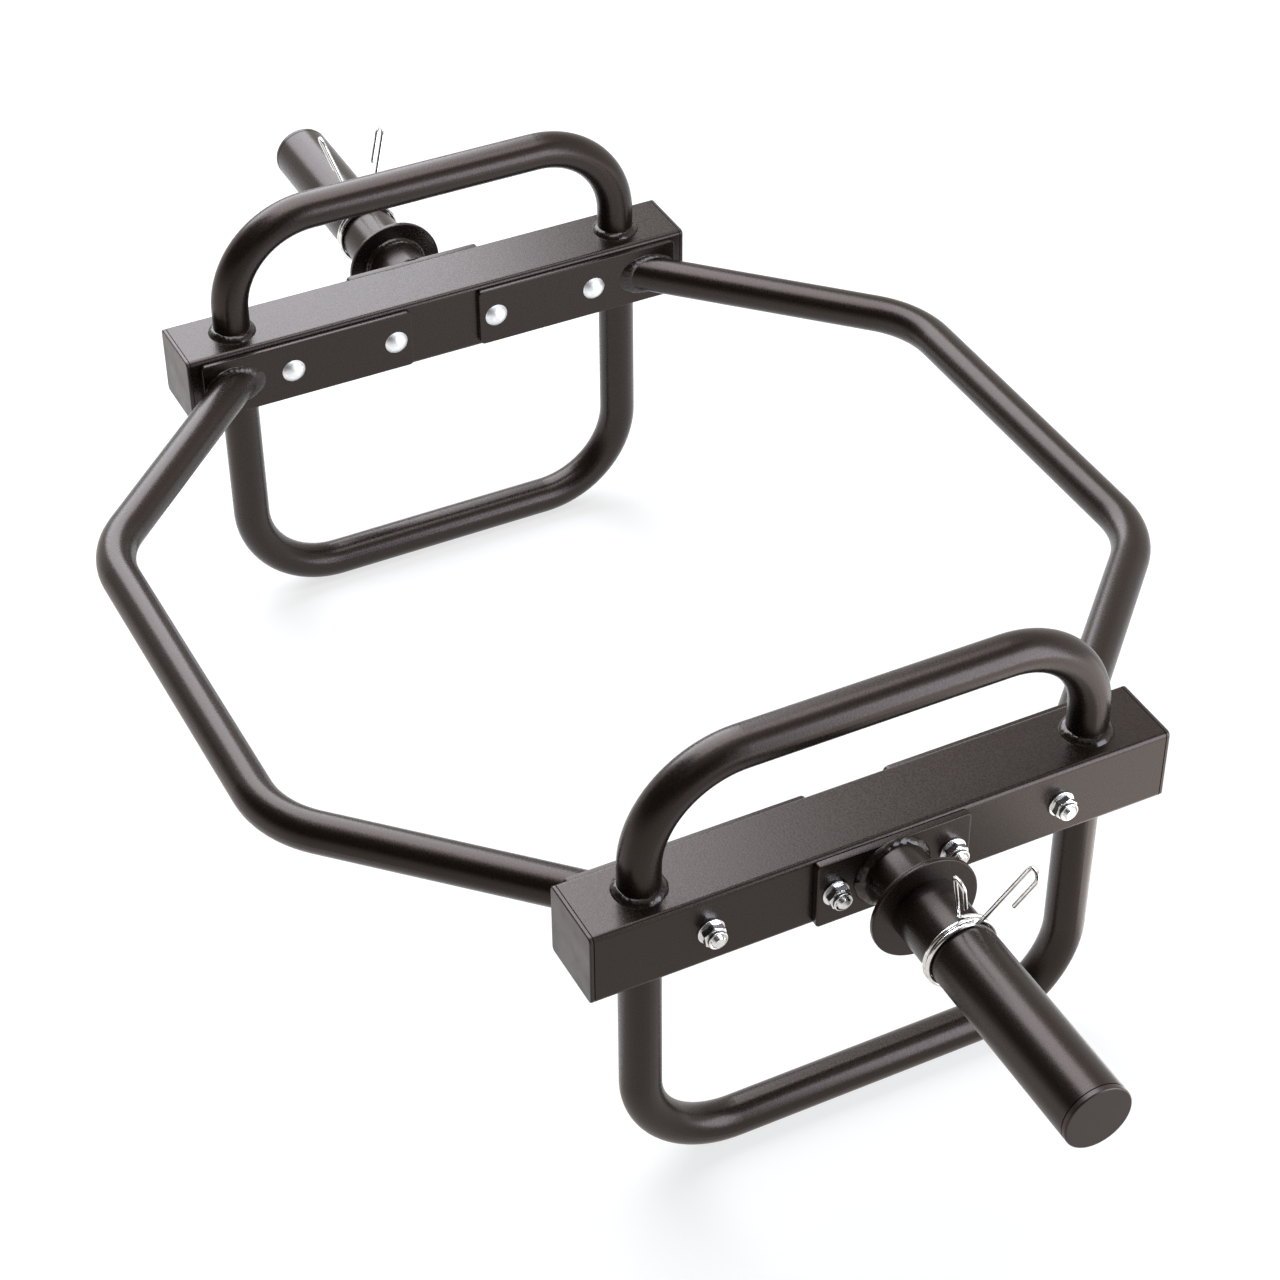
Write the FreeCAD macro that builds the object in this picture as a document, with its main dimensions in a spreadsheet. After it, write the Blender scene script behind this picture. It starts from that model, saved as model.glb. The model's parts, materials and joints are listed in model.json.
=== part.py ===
import FreeCAD, Part
import math
import os
from collections import namedtuple

import Sketcher
from FreeCAD import Placement, Rotation, Vector

# Hex trap bar. X runs along the loading sleeves, Y from the rear rail to the front rail, Z up.
# The origin is on the floor, midway between the two end beams.
# Each end is built round the centre of its beam; the left end is the right end turned half a turn about Z.

SIZES = (
    ("beam_spread", 744, "between the middles of the two end beams"),
    ("beam_width", 60, "box section along X"),
    ("beam_height", 60, "box section along Z"),
    ("beam_length", 447, "box section along Y, without its caps"),
    ("beam_wall", 3, "wall of the box section"),
    ("beam_corner", 4, "outer corner radius of the box section"),
    ("beam_inner_corner", 1, "inner corner radius of the box section"),
    ("stand_height", 216, "from the floor to the underside of a beam"),
    ("loop_span", 352, "between the legs of a lower loop"),
    ("loop_bend", 76, "bend radius of a lower loop"),
    ("loop_diameter", 30.5, "tube of a lower loop"),
    ("loop_wall", 2.5, "wall of a lower loop's tube"),
    ("handle_height", 110, "from the top of a beam to the top of its handle"),
    ("handle_span", 352, "between the legs of an upper handle"),
    ("handle_bend", 75, "bend radius of an upper handle"),
    ("handle_diameter", 30.5, "tube of an upper handle"),
    ("handle_wall", 2.5, "wall of an upper handle's tube"),
    ("rail_span", 717, "between the middle runs of the two rails"),
    ("rail_foot_gap", 17.45, "from the head of the outer bolt to the bead round a rail's end"),
    ("rail_angle", 45, "degrees between a rail's end run and its middle run"),
    ("rail_bend", 83, "bend radius of a rail"),
    ("rail_diameter", 30.5, "tube of a rail"),
    ("rail_wall", 2.5, "wall of a rail's tube"),
    ("rail_plate_margin", 0.4, "from the bead round a rail's end to the end of its plate"),
    ("rail_plate_height", 52, "plate at the end of a rail, along Z"),
    ("rail_plate_thickness", 5, "plate at the end of a rail"),
    ("rail_plate_corner", 4, "corner radius of that plate"),
    ("rail_plate_gap", 62, "between the two plates on one beam"),
    ("sleeve_plate_width", 120, "plate that carries a sleeve, along the beam"),
    ("sleeve_plate_height", 56, "plate that carries a sleeve, along Z"),
    ("sleeve_plate_thickness", 6, "plate that carries a sleeve"),
    ("sleeve_plate_corner", 3, "corner radius of that plate"),
    ("sleeve_diameter", 50, "outside of a loading sleeve"),
    ("sleeve_wall", 3.5, "wall of a loading sleeve"),
    ("sleeve_length", 248, "from its plate to its cap"),
    ("collar_diameter", 82, "disc that stops the weight plates"),
    ("collar_thickness", 4, "disc that stops the weight plates"),
    ("collar_reach", 37.5, "from the sleeve plate to that disc"),
    ("collar_clearance", 0.1, "round the sleeve inside the disc"),
    ("cap_groove", 0.8, "shadow line between a tube and its cap"),
    ("cap_groove_depth", 1.2, "how far that line steps in"),
    ("cap_groove_corner", 2.8, "corner radius of that line on a beam"),
    ("beam_cap_flange", 2.7, "flange of a beam's cap"),
    ("beam_cap_depth", 18, "plug of a beam's cap"),
    ("sleeve_cap_flange", 4.2, "flange of a sleeve's cap"),
    ("sleeve_cap_depth", 22, "plug of a sleeve's cap"),
    ("cap_wall", 2.2, "wall of a cap's plug"),
    ("cap_clearance", 0.15, "between a plug and the tube round it"),
    ("cap_plug_corner", 0.7, "corner radius of a beam cap's plug"),
    ("cap_round", 1.2, "rounded rim of a cap"),
    ("bolt_pitch", 92, "between neighbouring bolts along a beam"),
    ("bolt_diameter", 10, "shank of a carriage bolt"),
    ("bolt_head_diameter", 20, "domed head of a carriage bolt"),
    ("bolt_head_height", 5, "domed head of a carriage bolt"),
    ("bolt_neck", 4, "depth of the square neck under the head"),
    ("bolt_neck_corner", 0.6, "corner radius of the square hole"),
    ("bolt_clearance", 0.3, "round a shank or a neck in its hole"),
    ("bolt_show", 2.2, "bolt end beyond its nut"),
    ("bolt_tip", 1, "bevel of a bolt end"),
    ("washer_diameter", 20.5, "washer under a nut"),
    ("washer_thickness", 1.8, "washer under a nut"),
    ("nut_flats", 16, "hexagon of a lock nut across its flats"),
    ("nut_hexagon", 6.6, "height of that hexagon"),
    ("nut_crown_diameter", 14.6, "round crown of a lock nut"),
    ("nut_height", 10, "whole height of a lock nut"),
    ("thread_clearance", 0.05, "between the thread of a bolt and its nut"),
    ("foot_weld", 4.5, "leg of the bead round a handle or loop foot"),
    ("rail_weld", 3.5, "leg of the bead round a rail end"),
    ("sleeve_weld", 4, "leg of the bead where a sleeve meets its plate"),
    ("collar_weld", 3.5, "leg of the bead behind a collar disc"),
    ("weld_toe", 0.5, "flat toe of a bead"),
    ("clip_wire", 3.2, "spring wire of a clip"),
    ("clip_clearance", 0.35, "between the sleeve and the coil of a clip"),
    ("clip_gap", 0.8, "between neighbouring turns of a clip"),
    ("clip_turns", 2, "whole turns of a clip"),
    ("clip_top", 9.8, "degrees from upright to the middle of the arms' feet"),
    ("clip_foot", 12.4, "degrees from that middle to each arm's foot"),
    ("clip_long_rise", 59.5, "rise of the longer arm above its foot"),
    ("clip_long_lean", 18.2, "lean of that arm towards the sleeve's end"),
    ("clip_long_spread", 18, "sideways spread of that arm"),
    ("clip_short_rise", 55.5, "rise of the shorter arm above its foot"),
    ("clip_short_lean", 19.3, "lean of that arm towards the sleeve's end"),
    ("clip_short_spread", 21, "sideways spread of that arm"),
    ("clip_knee", 8, "along an arm from its foot to the start of its straight"),
    ("clip_hairpin", 10.7, "between the two legs of an arm"),
    ("clip_return", 27, "short leg of an arm"),
    ("right_clip_stand", 45.5, "from the right disc to the middle of its clip"),
    ("right_clip_spin", 0, "degrees that the right clip is turned about its sleeve"),
    ("left_clip_stand", 57.3, "from the left disc to the middle of its clip"),
    ("left_clip_spin", 4.2, "degrees that the left clip is turned about its sleeve"),
)

BOLTS_PER_BEAM = 4
WIRE_SAMPLES_PER_EDGE = 24

doc = FreeCAD.newDocument("hex_trap_bar")
sheet = doc.addObject("Spreadsheet::Sheet", "Sizes")


class Measure:
    """A size held as a number and as the sheet formula that gives it."""

    def __init__(self, value, text):
        self.value = value
        self.text = text

    def __add__(self, other):
        other = as_measure(other)
        return Measure(self.value + other.value, f"({self.text} + {other.text})")

    def __sub__(self, other):
        other = as_measure(other)
        return Measure(self.value - other.value, f"({self.text} - {other.text})")

    def __mul__(self, other):
        other = as_measure(other)
        return Measure(self.value * other.value, f"({self.text} * {other.text})")

    def __truediv__(self, other):
        other = as_measure(other)
        return Measure(self.value / other.value, f"({self.text} / {other.text})")

    __radd__ = __add__
    __rmul__ = __mul__


def as_measure(thing):
    if isinstance(thing, Measure):
        return thing
    return Measure(float(thing), f"({thing})")


def tangent(angle):
    return Measure(math.tan(math.radians(angle.value)), f"tan({angle.text} * 1deg)")


def cosine(angle):
    return Measure(math.cos(math.radians(angle.value)), f"cos({angle.text} * 1deg)")


def arcsine(ratio):
    return Measure(math.degrees(math.asin(ratio.value)), f"asin({ratio.text})")


def fill_sheet():
    """Writes one row for each size and returns the sizes by name."""
    measures = {}
    for row, (name, number, note) in enumerate(SIZES, start=1):
        sheet.set(f"A{row}", name)
        sheet.set(f"B{row}", str(number))
        sheet.set(f"C{row}", note)
        sheet.setAlias(f"B{row}", name)
        measures[name] = Measure(float(number), f"Sizes.{name}")
    doc.recompute()
    return namedtuple("Size", measures)(**measures)


size = fill_sheet()

# Places that several pieces share, measured from the centre of a beam.
beam_x = size.beam_spread / 2
beam_z = size.stand_height + size.beam_height / 2
outer_face = size.beam_width / 2
inner_face = size.beam_width / -2
rail_plate_face = inner_face - size.rail_plate_thickness
sleeve_root = outer_face + size.sleeve_plate_thickness
collar_root = sleeve_root + size.collar_reach
collar_face = collar_root + size.collar_thickness
sleeve_end = sleeve_root + size.sleeve_length
bolt_hole = size.bolt_diameter + 2 * size.bolt_clearance
bolt_places = [size.bolt_pitch * (k - (BOLTS_PER_BEAM - 1) / 2) for k in range(BOLTS_PER_BEAM)]
inner_bolt_places = bolt_places[1:-1]
clip_pitch = size.clip_wire + size.clip_gap
rail_reach = size.rail_diameter / (2 * cosine(size.rail_angle)) + size.rail_weld
rail_foot = bolt_places[-1] + size.bolt_head_diameter / 2 + size.rail_foot_gap + rail_reach
rail_plate_start = size.rail_plate_gap / 2
rail_plate_end = rail_foot + rail_reach + size.rail_plate_margin

X_AXIS = Vector(1, 0, 0)
Y_AXIS = Vector(0, 1, 0)
Z_AXIS = Vector(0, 0, 1)
UPRIGHT = Rotation()
Z_TO_X = Rotation(Y_AXIS, 90)
Z_TO_MINUS_X = Rotation(Y_AXIS, -90)
Z_TO_Y = Rotation(X_AXIS, -90)
Z_TO_MINUS_Y = Rotation(X_AXIS, 90)
HALF_TURN_X = Rotation(X_AXIS, 180)
HALF_TURN_Z = Rotation(Z_AXIS, 180)

Side = namedtuple("Side", "name sign turn clip_stand clip_spin")
RIGHT = Side("right", 1, UPRIGHT, size.right_clip_stand, size.right_clip_spin)
LEFT = Side("left", -1, HALF_TURN_Z, size.left_clip_stand, size.left_clip_spin)
SIDES = (RIGHT, LEFT)

nodes = []


def bind(item, prop, measure):
    item.setExpression(prop, as_measure(measure).text)


def keep(item, label):
    """Names an item as one of the bar's pieces."""
    item.Label = label
    nodes.append(item)
    return item


def end_name(side, sign):
    """World name of the end of a beam that lies towards a sign of its own Y."""
    return "front" if side.sign * sign > 0 else "rear"


def place(item, side, x=0, y=0, z=0, turn=UPRIGHT):
    """Sets an item at an offset from the centre of one beam."""
    item.Placement = Placement(Vector(), side.turn * turn)
    bind(item, "Placement.Base.x", (beam_x + x) * side.sign)
    bind(item, "Placement.Base.y", as_measure(y) * side.sign)
    bind(item, "Placement.Base.z", beam_z + z)
    return item


# Sketch helpers.


def new_body(label):
    return keep(doc.addObject("PartDesign::Body", label), label)


def origin_plane(body, role):
    return next(item for item in body.Origin.OriginFeatures if item.Role == role)


def new_sketch(body, role, lift=None):
    """Sketch on one of the body's own planes, lifted along its normal."""
    sketch = body.newObject("Sketcher::SketchObject", f"{body.Name}_sketch")
    sketch.AttachmentSupport = [(origin_plane(body, role), "")]
    sketch.MapMode = "FlatFace"
    if lift is not None:
        bind(sketch, "AttachmentOffset.Base.z", lift)
    return sketch


def drive(sketch, measure, kind, *items):
    """Adds a dimension to a sketch and binds it to its formula."""
    index = sketch.addConstraint(Sketcher.Constraint(kind, *items, measure.value))
    bind(sketch, f"Constraints[{index}]", measure)


def pin(sketch, shape, point, x, y):
    """Holds a point of a sketch at x and y from its origin."""
    if as_measure(x).value:
        drive(sketch, as_measure(x), "DistanceX", -1, 1, shape, point)
    else:
        sketch.addConstraint(Sketcher.Constraint("PointOnObject", shape, point, -2))
    if as_measure(y).value:
        drive(sketch, as_measure(y), "DistanceY", -1, 1, shape, point)
    else:
        sketch.addConstraint(Sketcher.Constraint("PointOnObject", shape, point, -1))


def add_point(sketch, x, y):
    """Construction point held at x and y."""
    index = sketch.addGeometry(Part.Point(Vector(as_measure(x).value, as_measure(y).value, 0)), True)
    pin(sketch, index, 1, x, y)
    return index


def add_circle(sketch, diameter, x=0, y=0):
    centre = Vector(as_measure(x).value, as_measure(y).value, 0)
    index = sketch.addGeometry(Part.Circle(centre, Z_AXIS, diameter.value / 2))
    pin(sketch, index, 3, x, y)
    drive(sketch, diameter, "Diameter", index)


def add_rounded_rectangle(sketch, width, height, corner, x=0, y=0):
    """Rectangle with four round corners, centred at x and y."""
    middle = Vector(as_measure(x).value, as_measure(y).value, 0)
    radius = corner.value
    half_x = width.value / 2 - radius
    half_y = height.value / 2 - radius
    lines = []
    arcs = []
    for quarter in range(4):
        angle = math.radians(90 * quarter)
        out = Vector(math.cos(angle), math.sin(angle), 0)
        along = Vector(-out.y, out.x, 0)
        reach = Vector(out.x * (half_x + radius), out.y * (half_y + radius), 0)
        run = Vector(along.x * half_x, along.y * half_y, 0)
        line = Part.LineSegment(middle + reach - run, middle + reach + run)
        lines.append(sketch.addGeometry(line))
        centre = middle + Vector(out.x * half_x, out.y * half_y, 0) + run
        circle = Part.Circle(centre, Z_AXIS, radius)
        arcs.append(sketch.addGeometry(Part.ArcOfCircle(circle, angle, angle + math.pi / 2)))
    for quarter in range(4):
        following = lines[(quarter + 1) % 4]
        sketch.addConstraint(Sketcher.Constraint("Tangent", lines[quarter], 2, arcs[quarter], 1))
        sketch.addConstraint(Sketcher.Constraint("Tangent", arcs[quarter], 2, following, 1))
        sketch.addConstraint(Sketcher.Constraint("Horizontal" if quarter % 2 else "Vertical", lines[quarter]))
    for arc in arcs[1:]:
        sketch.addConstraint(Sketcher.Constraint("Equal", arcs[0], arc))
    held = add_point(sketch, x, y)
    sketch.addConstraint(Sketcher.Constraint("Symmetric", arcs[0], 3, arcs[2], 3, held, 1))
    drive(sketch, width, "DistanceX", lines[2], 1, lines[0], 2)
    drive(sketch, height, "DistanceY", lines[3], 1, lines[1], 2)
    drive(sketch, corner, "Radius", arcs[0])


def add_bent_path(sketch, corners, bend):
    """Straight runs through the corners, with an arc of one radius at each bend."""
    points = [Vector(x.value, y.value, 0) for x, y in corners]
    cut = [0.0] * len(points)
    for k in range(1, len(points) - 1):
        turn = (points[k] - points[k - 1]).getAngle(points[k + 1] - points[k])
        cut[k] = bend.value * math.tan(turn / 2)
    runs = []
    for k in range(len(points) - 1):
        along = (points[k + 1] - points[k]).normalize()
        start = points[k] + along * cut[k]
        stop = points[k + 1] - along * cut[k + 1]
        runs.append(Part.LineSegment(start, stop))
    lines = [sketch.addGeometry(run) for run in runs]
    held = [add_point(sketch, x, y) for x, y in corners]
    for k in range(1, len(runs)):
        to_last = (points[k - 1] - points[k]).normalize()
        to_next = (points[k + 1] - points[k]).normalize()
        inward = (to_last + to_next).normalize()
        reach = math.hypot(bend.value, cut[k]) - bend.value
        arc = Part.Arc(runs[k - 1].EndPoint, points[k] + inward * reach, runs[k].StartPoint)
        index = sketch.addGeometry(arc)
        counter_clockwise = (points[k] - points[k - 1]).cross(points[k + 1] - points[k]).z > 0
        first, last = (1, 2) if counter_clockwise else (2, 1)
        sketch.addConstraint(Sketcher.Constraint("Tangent", lines[k - 1], 2, index, first))
        sketch.addConstraint(Sketcher.Constraint("Tangent", index, last, lines[k], 1))
        drive(sketch, bend, "Radius", index)
    sketch.addConstraint(Sketcher.Constraint("Coincident", lines[0], 1, held[0], 1))
    sketch.addConstraint(Sketcher.Constraint("Coincident", lines[-1], 2, held[-1], 1))
    for k in range(1, len(runs)):
        sketch.addConstraint(Sketcher.Constraint("PointOnObject", held[k], 1, lines[k - 1]))
        sketch.addConstraint(Sketcher.Constraint("PointOnObject", held[k], 1, lines[k]))


def pad(body, sketch, length, both_ways=False, backwards=False):
    feature = body.newObject("PartDesign::Pad", f"{body.Name}_pad")
    feature.Profile = sketch
    bind(feature, "Length", length)
    if both_ways:
        feature.SideType = "Symmetric"
    feature.Reversed = backwards
    return feature


def cut_through(body, sketch):
    """Cuts a sketch through the whole body, both ways, and checks that it took something away."""
    doc.recompute()
    before = body.Shape.Volume
    feature = body.newObject("PartDesign::Pocket", f"{body.Name}_cut")
    feature.Profile = sketch
    feature.SideType = "Symmetric"
    feature.Type = "ThroughAll"
    doc.recompute()
    if body.Shape.Volume >= before:
        raise RuntimeError(f"{body.Label}: a cut took nothing away")
    return feature


def pipe(body, ring, path):
    feature = body.newObject("PartDesign::AdditivePipe", f"{body.Name}_pipe")
    feature.Profile = ring
    feature.Spine = path
    return feature


# The welded frame.


def end_beam(side):
    """Box section with a round hole for each bolt through both of its upright walls."""
    body = new_body(f"{side.name}_beam")
    section = new_sketch(body, "XZ_Plane")
    wall = 2 * size.beam_wall
    add_rounded_rectangle(section, size.beam_width, size.beam_height, size.beam_corner)
    add_rounded_rectangle(
        section, size.beam_width - wall, size.beam_height - wall, size.beam_inner_corner)
    pad(body, section, size.beam_length, both_ways=True)
    holes = new_sketch(body, "YZ_Plane")
    for y in bolt_places:
        add_circle(holes, bolt_hole, y)
    cut_through(body, holes)
    place(body, side)


def bent_tube(label, span, height, bend, diameter, wall):
    """Hollow tube bent to a U that stands on its two feet."""
    body = new_body(label)
    path = new_sketch(body, "YZ_Plane")
    near = span / -2
    far = span / 2
    top = height - diameter / 2
    floor = as_measure(0)
    add_bent_path(path, [(near, floor), (near, top), (far, top), (far, floor)], bend)
    ring = new_sketch(body, "XY_Plane")
    add_circle(ring, diameter, 0, near)
    add_circle(ring, diameter - 2 * wall, 0, near)
    pipe(body, ring, path)
    return body


def upper_handle(side):
    body = bent_tube(
        f"{side.name}_upper_handle", size.handle_span, size.handle_height, size.handle_bend,
        size.handle_diameter, size.handle_wall)
    place(body, side, z=size.beam_height / 2)


def lower_loop(side):
    body = bent_tube(
        f"{side.name}_lower_loop", size.loop_span, size.stand_height, size.loop_bend,
        size.loop_diameter, size.loop_wall)
    place(body, side, z=size.beam_height / -2, turn=HALF_TURN_X)


def side_rail(label, turn):
    """Bent tube from plate to plate: half of it is swept, trimmed flush with its plate and mirrored."""
    body = new_body(label)
    middle_y = size.rail_span / 2
    plate_x = beam_x + rail_plate_face
    corner_x = plate_x - (middle_y - rail_foot) / tangent(size.rail_angle)
    beyond = size.rail_diameter
    path = new_sketch(body, "XY_Plane")
    end_x = plate_x + beyond
    end_y = rail_foot - beyond * tangent(size.rail_angle)
    add_bent_path(path, [(as_measure(0), middle_y), (corner_x, middle_y), (end_x, end_y)], size.rail_bend)
    ring = new_sketch(body, "YZ_Plane")
    add_circle(ring, size.rail_diameter, middle_y)
    add_circle(ring, size.rail_diameter - 2 * size.rail_wall, middle_y)
    pipe(body, ring, path)
    trim = new_sketch(body, "XY_Plane")
    trim_side = 4 * size.rail_diameter
    add_rounded_rectangle(
        trim, trim_side, trim_side, size.rail_wall, plate_x + trim_side / 2, rail_foot - size.rail_diameter)
    cut_through(body, trim)
    mirrored = body.newObject("PartDesign::Mirrored", f"{label}_mirrored")
    mirrored.TransformMode = "Whole shape"
    mirrored.MirrorPlane = (origin_plane(body, "YZ_Plane"), [""])
    body.Tip = mirrored
    body.Placement = Placement(Vector(), turn)
    bind(body, "Placement.Base.z", beam_z)


def rail_plate(side, sign):
    """Flat plate on the inner face of a beam, with a square hole for each carriage bolt's neck."""
    body = new_body(f"{side.name}_{end_name(side, sign)}_rail_plate")
    outline = new_sketch(body, "YZ_Plane")
    length = rail_plate_end - rail_plate_start
    add_rounded_rectangle(outline, length, size.rail_plate_height, size.rail_plate_corner)
    pad(body, outline, size.rail_plate_thickness, backwards=True)
    centre = (rail_plate_start + rail_plate_end) / 2
    holes = new_sketch(body, "YZ_Plane")
    for y in bolt_places[2:]:
        add_rounded_rectangle(holes, bolt_hole, bolt_hole, size.bolt_neck_corner, y - centre)
    cut_through(body, holes)
    place(body, side, x=inner_face, y=centre * sign, turn=UPRIGHT if sign > 0 else HALF_TURN_X)


def sleeve_plate(side):
    body = new_body(f"{side.name}_sleeve_plate")
    outline = new_sketch(body, "YZ_Plane")
    add_rounded_rectangle(
        outline, size.sleeve_plate_width, size.sleeve_plate_height, size.sleeve_plate_corner)
    for y in inner_bolt_places:
        add_circle(outline, bolt_hole, y)
    pad(body, outline, size.sleeve_plate_thickness)
    place(body, side, x=outer_face)


def ring_body(label, outside, inside, length):
    """Plain ring along its own X."""
    body = new_body(label)
    section = new_sketch(body, "YZ_Plane")
    add_circle(section, outside)
    add_circle(section, inside)
    pad(body, section, length)
    return body


def sleeve_tube(side):
    bore = size.sleeve_diameter - 2 * size.sleeve_wall
    body = ring_body(f"{side.name}_sleeve_tube", size.sleeve_diameter, bore, size.sleeve_length)
    place(body, side, x=sleeve_root)


def collar_disc(side):
    bore = size.sleeve_diameter + 2 * size.collar_clearance
    body = ring_body(f"{side.name}_collar_disc", size.collar_diameter, bore, size.collar_thickness)
    place(body, side, x=collar_root)


# Plastic caps.


def end_cap(label, outline, wall, flange, depth):
    """Cap along its own Z: a hollow plug, a step that leaves a shadow line, and a rounded flange.

    The outline function draws the tube's own section, drawn in by an inset, with a corner radius.
    """
    body = new_body(label)
    step = new_sketch(body, "XY_Plane")
    outline(step, size.cap_groove_depth, size.cap_groove_corner)
    pad(body, step, size.cap_groove)
    cover = new_sketch(body, "XY_Plane", size.cap_groove)
    outline(cover, 0, size.beam_corner)
    pad(body, cover, flange)
    plug = new_sketch(body, "XY_Plane")
    plug_inset = wall + size.cap_clearance
    outline(plug, plug_inset, size.cap_plug_corner)
    outline(plug, plug_inset + size.cap_wall, size.cap_plug_corner)
    solid = pad(body, plug, depth, backwards=True)
    doc.recompute()
    top = (size.cap_groove + flange).value
    rim = [
        f"Edge{number}" for number, edge in enumerate(solid.Shape.Edges, start=1)
        if all(abs(point.Z - top) < 1e-6 for point in edge.Vertexes)]
    fillet = body.newObject("PartDesign::Fillet", f"{body.Name}_rim")
    fillet.Base = (solid, rim)
    bind(fillet, "Radius", size.cap_round)
    return body


def beam_outline(sketch, inset, corner):
    add_rounded_rectangle(sketch, size.beam_width - 2 * inset, size.beam_height - 2 * inset, corner)


def sleeve_outline(sketch, inset, corner):
    """Round section, which has no corner."""
    add_circle(sketch, size.sleeve_diameter - 2 * inset)


def beam_cap(side, sign):
    label = f"{side.name}_{end_name(side, sign)}_beam_cap"
    body = end_cap(label, beam_outline, size.beam_wall, size.beam_cap_flange, size.beam_cap_depth)
    place(body, side, y=size.beam_length / 2 * sign, turn=Z_TO_Y if sign > 0 else Z_TO_MINUS_Y)


def sleeve_cap(side):
    label = f"{side.name}_sleeve_cap"
    body = end_cap(label, sleeve_outline, size.sleeve_wall, size.sleeve_cap_flange, size.sleeve_cap_depth)
    place(body, side, x=sleeve_end, turn=Z_TO_X)


# Fasteners and weld beads, each along its own Z.


def primitive(kind, label, lift=0, **sizes):
    item = doc.addObject(f"Part::{kind}", label)
    for prop, measure in sizes.items():
        bind(item, prop, measure)
    bind(item, "Placement.Base.z", lift)
    return item


def fuse(label, shapes):
    item = doc.addObject("Part::MultiFuse", label)
    item.Shapes = shapes
    return item


def cut(label, base, tool):
    item = doc.addObject("Part::Cut", label)
    item.Base = base
    item.Tool = tool
    return item


def group(label, items):
    """One node that holds several separate solids."""
    item = keep(doc.addObject("Part::Compound", label), label)
    item.Links = items


def tube_ring(label, outside, inside, height):
    outer = primitive("Cylinder", f"{label}_outer", Radius=outside / 2, Height=height)
    bore = primitive("Cylinder", f"{label}_bore", Radius=inside / 2, Height=height)
    return cut(label, outer, bore)


def carriage_bolt(label, grip):
    """Domed head below z 0, square neck and round shank above it."""
    head = size.bolt_head_height
    half = size.bolt_head_diameter / 2
    ball = (half * half + head * head) / (2 * head)
    dome = primitive(
        "Sphere", f"{label}_dome", lift=ball - head, Radius=ball, Angle1=-90,
        Angle2=arcsine((head - ball) / ball))
    side_length = size.bolt_diameter
    neck = primitive(
        "Box", f"{label}_neck", Length=side_length, Width=side_length, Height=size.bolt_neck)
    bind(neck, "Placement.Base.x", side_length / -2)
    bind(neck, "Placement.Base.y", side_length / -2)
    radius = size.bolt_diameter / 2
    tip = size.bolt_tip
    shank = primitive("Cylinder", f"{label}_shank", Radius=radius, Height=grip - tip)
    bevel = primitive(
        "Cone", f"{label}_bevel", lift=grip - tip, Radius1=radius, Radius2=radius - tip, Height=tip)
    return fuse(label, [dome, neck, shank, bevel])


def lock_nut(label):
    hexagon = primitive(
        "Prism", f"{label}_hexagon", Circumradius=size.nut_flats / (2 * cosine(as_measure(30))),
        Height=size.nut_hexagon)
    hexagon.Polygon = 6
    crown = primitive(
        "Cylinder", f"{label}_crown", Radius=size.nut_crown_diameter / 2, Height=size.nut_height)
    bore_radius = size.bolt_diameter / 2 + size.thread_clearance
    bore = primitive("Cylinder", f"{label}_bore", Radius=bore_radius, Height=size.nut_height)
    return cut(label, fuse(f"{label}_blank", [hexagon, crown]), bore)


def fasteners(side):
    """Four carriage bolts, washers and lock nuts through one beam."""
    bolts = []
    washers = []
    nuts = []
    for number, y in enumerate(bolt_places, start=1):
        seat = sleeve_root if y in inner_bolt_places else outer_face
        nut_seat = seat + size.washer_thickness
        grip = nut_seat + size.nut_height + size.bolt_show - rail_plate_face
        bolt = carriage_bolt(f"{side.name}_bolt_{number}", grip)
        washer = tube_ring(
            f"{side.name}_washer_{number}", size.washer_diameter, bolt_hole, size.washer_thickness)
        nut = lock_nut(f"{side.name}_nut_{number}")
        bolts.append(place(bolt, side, x=rail_plate_face, y=y, turn=Z_TO_X))
        washers.append(place(washer, side, x=seat, y=y, turn=Z_TO_X))
        nuts.append(place(nut, side, x=nut_seat, y=y, turn=Z_TO_X))
    group(f"{side.name}_carriage_bolts", bolts)
    group(f"{side.name}_washers", washers)
    group(f"{side.name}_lock_nuts", nuts)


def round_bead(label, diameter, leg):
    """Fillet bead round a tube that stands square on a face."""
    radius = diameter / 2
    cone = primitive(
        "Cone", f"{label}_cone", Radius1=radius + leg, Radius2=radius + size.weld_toe, Height=leg)
    bore = primitive("Cylinder", f"{label}_bore", Radius=radius, Height=leg)
    return cut(label, cone, bore)


def slanted_bead(label, diameter, leg, angle):
    """Fillet bead round a tube that leans towards its own X as it leaves a face."""
    radius = diameter / 2
    long_radius = radius / cosine(angle)
    root = primitive("Ellipse", f"{label}_root", MajorRadius=long_radius + leg, MinorRadius=radius + leg)
    crown = primitive(
        "Ellipse", f"{label}_crown", lift=leg, MajorRadius=long_radius + size.weld_toe,
        MinorRadius=radius + size.weld_toe)
    bind(crown, "Placement.Base.x", leg * tangent(angle))
    blank = doc.addObject("Part::Loft", f"{label}_blank")
    blank.Sections = [root, crown]
    blank.Solid = True
    tube = primitive("Cylinder", f"{label}_tube", Radius=radius, Height=4 * diameter)
    tube.Placement = Placement(Vector(), Rotation(Y_AXIS, angle.value))
    bind(tube, "Placement.Base.x", -2 * diameter * tangent(angle) * cosine(angle))
    bind(tube, "Placement.Base.z", -2 * diameter * cosine(angle))
    return cut(label, blank, tube)


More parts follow.
